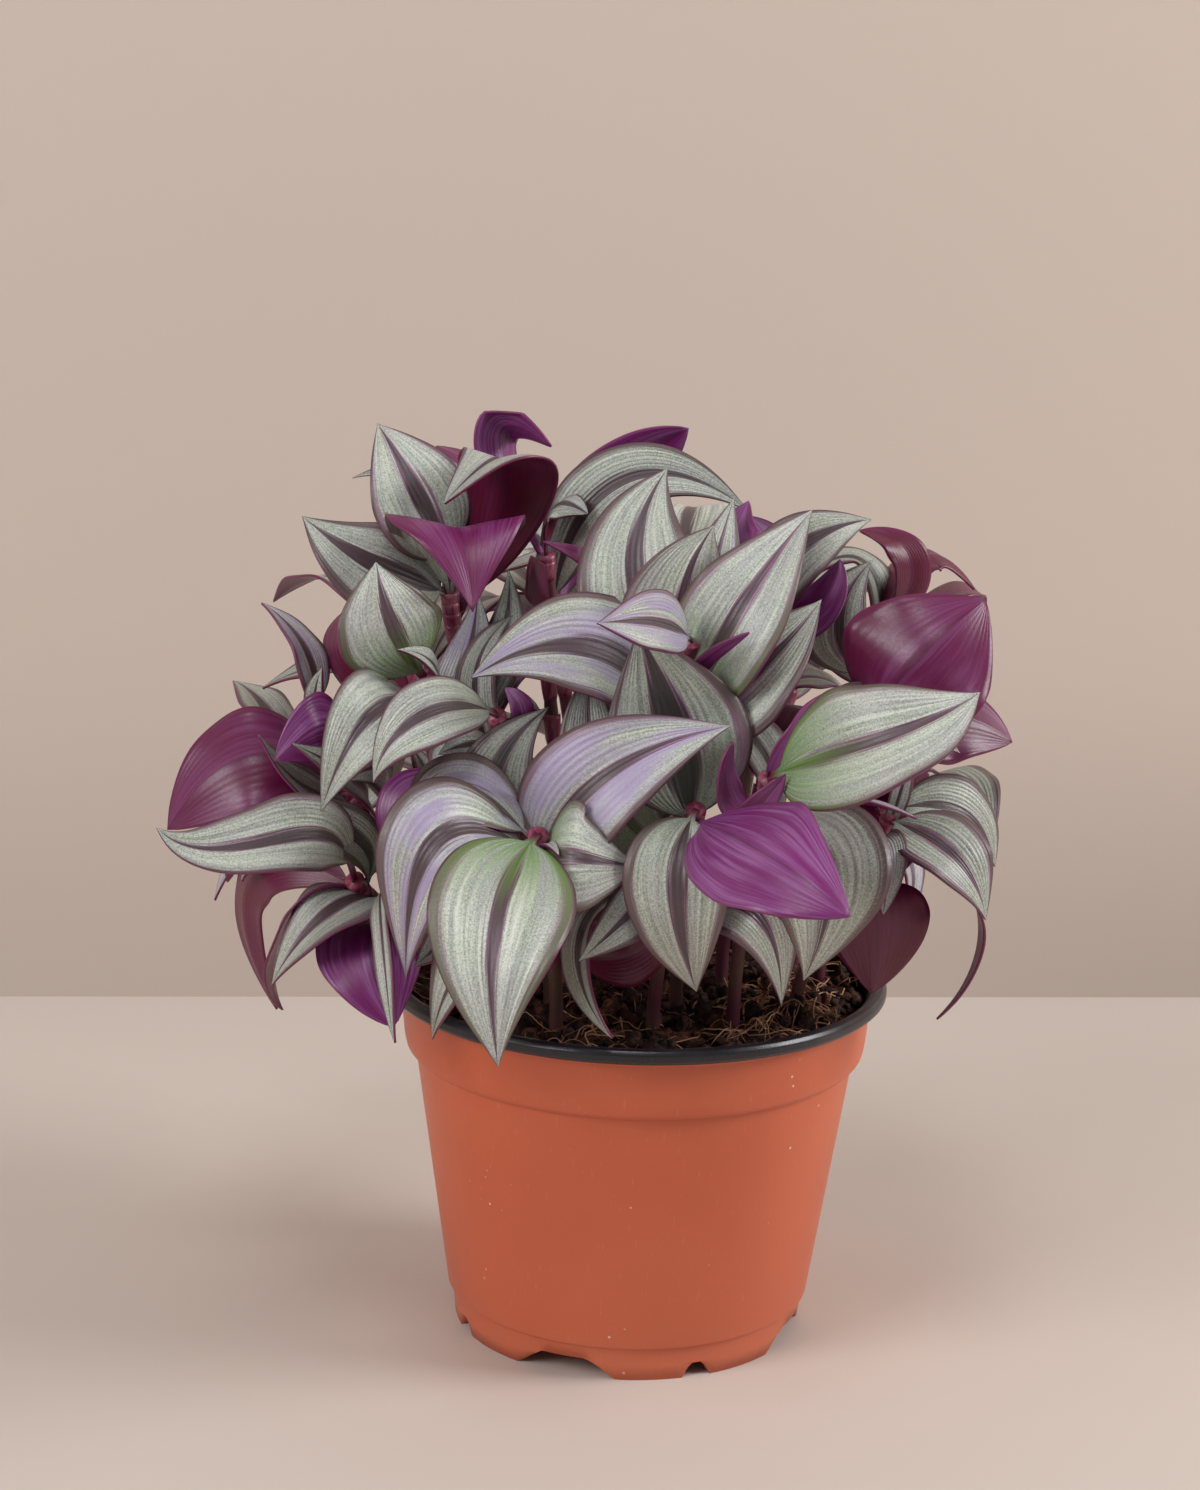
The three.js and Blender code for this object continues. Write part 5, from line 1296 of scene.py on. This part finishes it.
def make_fibres(look):
    """Coir fibres: thin curved strands over the mix, and a few over the lip."""
    bm = bmesh.new()
    tone = bm.verts.layers.float.new("strand_tone")
    chance = random.Random(FIBRE_SEED)
    for _ in range(FIBRES):
        if chance.random() < FIBRE_HEAP["share"]:
            x, y = chance.gauss(*FIBRE_HEAP["x"]), chance.gauss(*FIBRE_HEAP["y"])
        else:
            x, y = in_circle(chance, FIBRE_RING)
        if math.hypot(x, y) > FIBRE_RING:
            continue
        heading = chance.uniform(0, math.tau)
        curl = chance.uniform(-FIBRE_CURL, FIBRE_CURL)
        length = chance.uniform(*FIBRE_LENGTH)
        rise = chance.uniform(*FIBRE_RISE)
        points = []
        for i in range(FIBRE_STEPS):
            share = i / (FIBRE_STEPS - 1)
            hump = rise * math.sin(math.pi * min(share * chance.uniform(*FIBRE_HUMP), 1))
            if math.hypot(x, y) > FIBRE_EDGE:
                x *= FIBRE_EDGE / math.hypot(x, y)
                y *= FIBRE_EDGE / math.hypot(x, y)
            points.append(in_frame((x, y, mix_height(x, y) + FIBRE_LIFT + hump)))
            heading += curl + chance.uniform(-FIBRE_WANDER, FIBRE_WANDER)
            x += math.cos(heading) * length / FIBRE_STEPS
            y += math.sin(heading) * length / FIBRE_STEPS
        radius = chance.choice(FIBRE_RADII) * MM
        radii = [radius] * (FIBRE_STEPS - 1) + [radius * FIBRE_END]
        add_tube(bm, points, radii, FIBRE_SIDES, layer=tone, tone=chance.random())
    for degrees in RIM_STRANDS:
        points = []
        for k, (r, z) in enumerate(RIM_PATH):
            angle = math.radians(degrees + RIM_STRAND["lean"] * k * chance.uniform(*RIM_STRAND["uneven"]))
            points.append(in_frame((r * math.cos(angle), r * math.sin(angle), z)))
        radius = RIM_STRAND["radius"] * MM
        radii = [radius] * (len(points) - 1) + [radius / 2]
        add_tube(bm, points, radii, RIM_STRAND["sides"], layer=tone, tone=RIM_STRAND["tone"])
    return finish_piece("coir_fibres", bm, [fibre_skin(look)])


# ---------------------------------------------------------------- stage

def clear_from_behind(material):
    """Lets a view from behind the wall see the plant."""
    shader = Shader(material.node_tree)
    clear = shader.add("BsdfTransparent")
    behind = shader.add("NewGeometry", out="Backfacing")
    front = Value(shader, shader.surface.outputs[0])
    output = shader.tree.nodes["Material Output"]
    shader.put(output.inputs["Surface"], shader.add("MixShader", behind, front, clear))
    return material


def soft_light(name, place, aim, size, power):
    """A round soft light that points from its place to where it aims."""
    light = bpy.data.lights.new(name, "AREA")
    light.shape = "DISK"
    light.size = size
    light.energy = power
    lamp = bpy.data.objects.new(name, light)
    lamp.location = place
    lamp.rotation_euler = (Vector(aim) - Vector(place)).to_track_quat("-Z", "Y").to_euler()
    bpy.context.scene.collection.objects.link(lamp)


def set_camera(scene):
    """The camera at the photograph's place, with its lens and tilt."""
    data = bpy.data.cameras.new("camera")
    data.sensor_fit = "AUTO"
    data.lens = data.sensor_width * FOCAL_PIXELS / FRAME_HEIGHT_PIXELS
    data.clip_start = 0.01
    scene.camera = bpy.data.objects.new("camera", data)
    tilt = Matrix.Rotation(math.radians(90 - CAMERA_TILT), 4, "X")
    roll = Matrix.Rotation(math.radians(-CAMERA_ROLL), 4, "Z")
    scene.camera.matrix_world = Matrix.Translation(in_frame(CAMERA_PLACE)) @ tilt @ roll
    scene.collection.objects.link(scene.camera)


def set_world(scene, look):
    """An even pale light all round. The camera sees it in the wall's colour."""
    scene.world = bpy.data.worlds.new("studio")
    scene.world.use_nodes = True
    shader = Shader(scene.world.node_tree)
    around = shader.tree.nodes["Background"]
    around.inputs["Color"].default_value = (1, 1, 1, 1)
    around.inputs["Strength"].default_value = look.ambient
    sky = Value(shader, around.outputs[0])
    seen = shader.add("Background", (*look.wall, 1), 1.0)
    ray = shader.add("LightPath", out="Is Camera Ray")
    output = shader.tree.nodes["World Output"]
    shader.put(output.inputs["Surface"], shader.add("MixShader", ray, sky, seen))


def add_stage(name, matrix, material):
    """A large flat square that isn't part of the object."""
    bm = bmesh.new()
    bmesh.ops.create_grid(bm, x_segments=1, y_segments=1, size=STAGE_SIZE, matrix=matrix)
    piece = make_object(name, bm, [material])


# ---------------------------------------------------------------- settings

def tone_setting(name, description, *screen_colour):
    return FloatVectorProperty(name=name, description=description, subtype="COLOR", size=3, min=0, max=1,
                               default=colour(*screen_colour))


def power_setting(name, description, default):
    return FloatProperty(name=name, description=description, default=default, min=0, unit="POWER")


class PotLook(PropertyGroup):
    shell: tone_setting("Shell", "Terracotta plastic outside", 198, 94, 62)
    shell_light: tone_setting("Shell, lighter", "Paler clouds in the terracotta", 206, 104, 70)
    lining: tone_setting("Lining", "Black plastic of the lip and the inside", 30, 28, 34)


class LeafLook(PropertyGroup):
    # The bands' silver and its darker copy: streaks of the pattern, with painted sparkle from the cells.
    silver: tone_setting("Silver", "Brightest part of the bands", 226, 231, 217)
    silver_shade: tone_setting("Silver, shaded", "Darker part of the bands", 136, 146, 130)
    lilac: tone_setting("Lilac", "Sheen on some bands", 176, 156, 196)
    border: tone_setting("Border", "Violet lines along the bands", 148, 92, 132)
    middle: tone_setting("Middle", "Dark stripe along the midrib", 78, 52, 64)
    middle_green: tone_setting("Middle, shaded leaves", "Stripe of the darker leaves", 46, 50, 42)
    margin: tone_setting("Margin", "Purple brown margins", 92, 68, 74)
    fresh: tone_setting("Fresh green", "Streaks near the base", 100, 142, 50)
    # Lit and shaded copies of the underside colour, mixed by how bright each underside is painted.
    magenta: tone_setting("Magenta", "Lit undersides", 118, 32, 104)
    # Painted sheen on the lit undersides.
    bloom: tone_setting("Bloom", "Pale violet bloom on the undersides", 166, 116, 172)
    maroon: tone_setting("Maroon", "Shaded undersides", 92, 12, 42)
    sheath: tone_setting("Sheath", "Sheaths, buds and leaf bases", 146, 46, 84)


class MixLook(PropertyGroup):
    peat: tone_setting("Peat", "Crumbs of peat", 92, 56, 42)
    # Damp peat with painted shade, for the hollows between the crumbs.
    peat_dark: tone_setting("Peat, damp", "Hollows between the crumbs", 16, 9, 8)
    coir: tone_setting("Coir", "Reddish brown coir", 146, 84, 56)
    fibre: tone_setting("Fibre", "Dry, pale fibres", 222, 178, 134)


class StageLook(PropertyGroup):
    floor: tone_setting("Floor", "Pale table", 202, 190, 181)
    wall: tone_setting("Wall", "Pale wall behind", 201, 186, 175)
    right_power: power_setting("Right light", "Power of the soft light at the right", 18.0)
    left_power: power_setting("Left light", "Power of the soft light at the left", 15.0)
    top_power: power_setting("Top light", "Power of the weak light from above", 6.0)
    ambient: FloatProperty(name="Ambient", description="Strength of the surrounding light", default=0.24,
                           min=0)
    table_depth: FloatProperty(name="Table depth", description="From the pot to the foot of the wall",
                               default=0.276, min=0.2, unit="LENGTH")


# ---------------------------------------------------------------- operators

class PLANT_OT_stage(Operator):
    """Set the camera, the soft lights, the pale table and the wall behind it"""
    bl_idname = "plant.stage"
    bl_label = "Stage"

    def execute(self, context):
        look = context.scene.stage_look
        set_camera(context.scene)
        add_stage("table", Matrix(), plain_skin("table", look.floor, 0.55, 1.0))
        foot = Matrix.Translation((0, look.table_depth, 0)) @ Matrix.Rotation(math.radians(WALL_TURN), 4, "Z")
        upright = Matrix.Translation((0, 0, STAGE_SIZE)) @ Matrix.Rotation(math.radians(90), 4, "X")
        wall = clear_from_behind(plain_skin("wall", look.wall, 0.8, WALL_SHADE))
        add_stage("wall", foot @ upright, wall)
        for name, (place, aim, size) in LIGHTS.items():
            soft_light(name + "_light", place, aim, size, getattr(look, name + "_power"))
        set_world(context.scene, look)
        context.scene.view_settings.view_transform = "Standard"
        return {"FINISHED"}


class PLANT_OT_pot(Operator):
    """Build the nursery pot"""
    bl_idname = "plant.pot"
    bl_label = "Pot"

    def execute(self, context):
        make_pot(context.scene.pot_look)
        return {"FINISHED"}


class PLANT_OT_mix(Operator):
    """Build the potting mix with its crumbs and coir fibres"""
    bl_idname = "plant.mix"
    bl_label = "Potting mix"

    def execute(self, context):
        for make in (make_mix, make_crumbs, make_fibres):
            make(context.scene.mix_look)
        return {"FINISHED"}


class PLANT_OT_stems(Operator):
    """Build the leafy stems"""
    bl_idname = "plant.stems"
    bl_label = "Leafy stems"

    def execute(self, context):
        look = context.scene.leaf_look
        blade_skins = [leaf_top(look), leaf_under(look)]
        stalk_skins = [stem_skin(), sheath_skin(look), hair_skin()]
        for stem, leaves in hang_leaves():
            make_stem(stem, leaves, stalk_skins)
            make_blades(stem, leaves, blade_skins)
        return {"FINISHED"}


class PLANT_PT_panel(Panel):
    """Steps of the potted plant and their settings"""
    bl_idname = "PLANT_PT_panel"
    bl_label = "Potted Tradescantia"
    bl_space_type = "VIEW_3D"
    bl_region_type = "UI"
    bl_category = "Potted Plant"

    def draw(self, context):
        column = self.layout.column()
        for step in OPERATORS:
            column.operator(step.bl_idname)
        for group, settings in LOOK_GROUPS.items():
            box = column.box()
            for name in settings.__annotations__:
                box.prop(getattr(context.scene, group), name)


LOOK_GROUPS = {"pot_look": PotLook, "leaf_look": LeafLook, "mix_look": MixLook, "stage_look": StageLook}
OPERATORS = (PLANT_OT_stage, PLANT_OT_pot, PLANT_OT_mix, PLANT_OT_stems)
CLASSES = (*LOOK_GROUPS.values(), *OPERATORS, PLANT_PT_panel)


def register():
    for item in CLASSES:
        bpy.utils.register_class(item)
    for name, settings in LOOK_GROUPS.items():
        setattr(bpy.types.Scene, name, PointerProperty(type=settings))


def unregister():
    for name in LOOK_GROUPS:
        delattr(bpy.types.Scene, name)
    for item in reversed(CLASSES):
        bpy.utils.unregister_class(item)


def main():
    """Builds the stage and every piece."""
    register()
    make_groups()
    bpy.ops.plant.stage()
    bpy.ops.plant.pot()
    bpy.ops.plant.mix()
    bpy.ops.plant.stems()


if __name__ == "__main__":
    main()
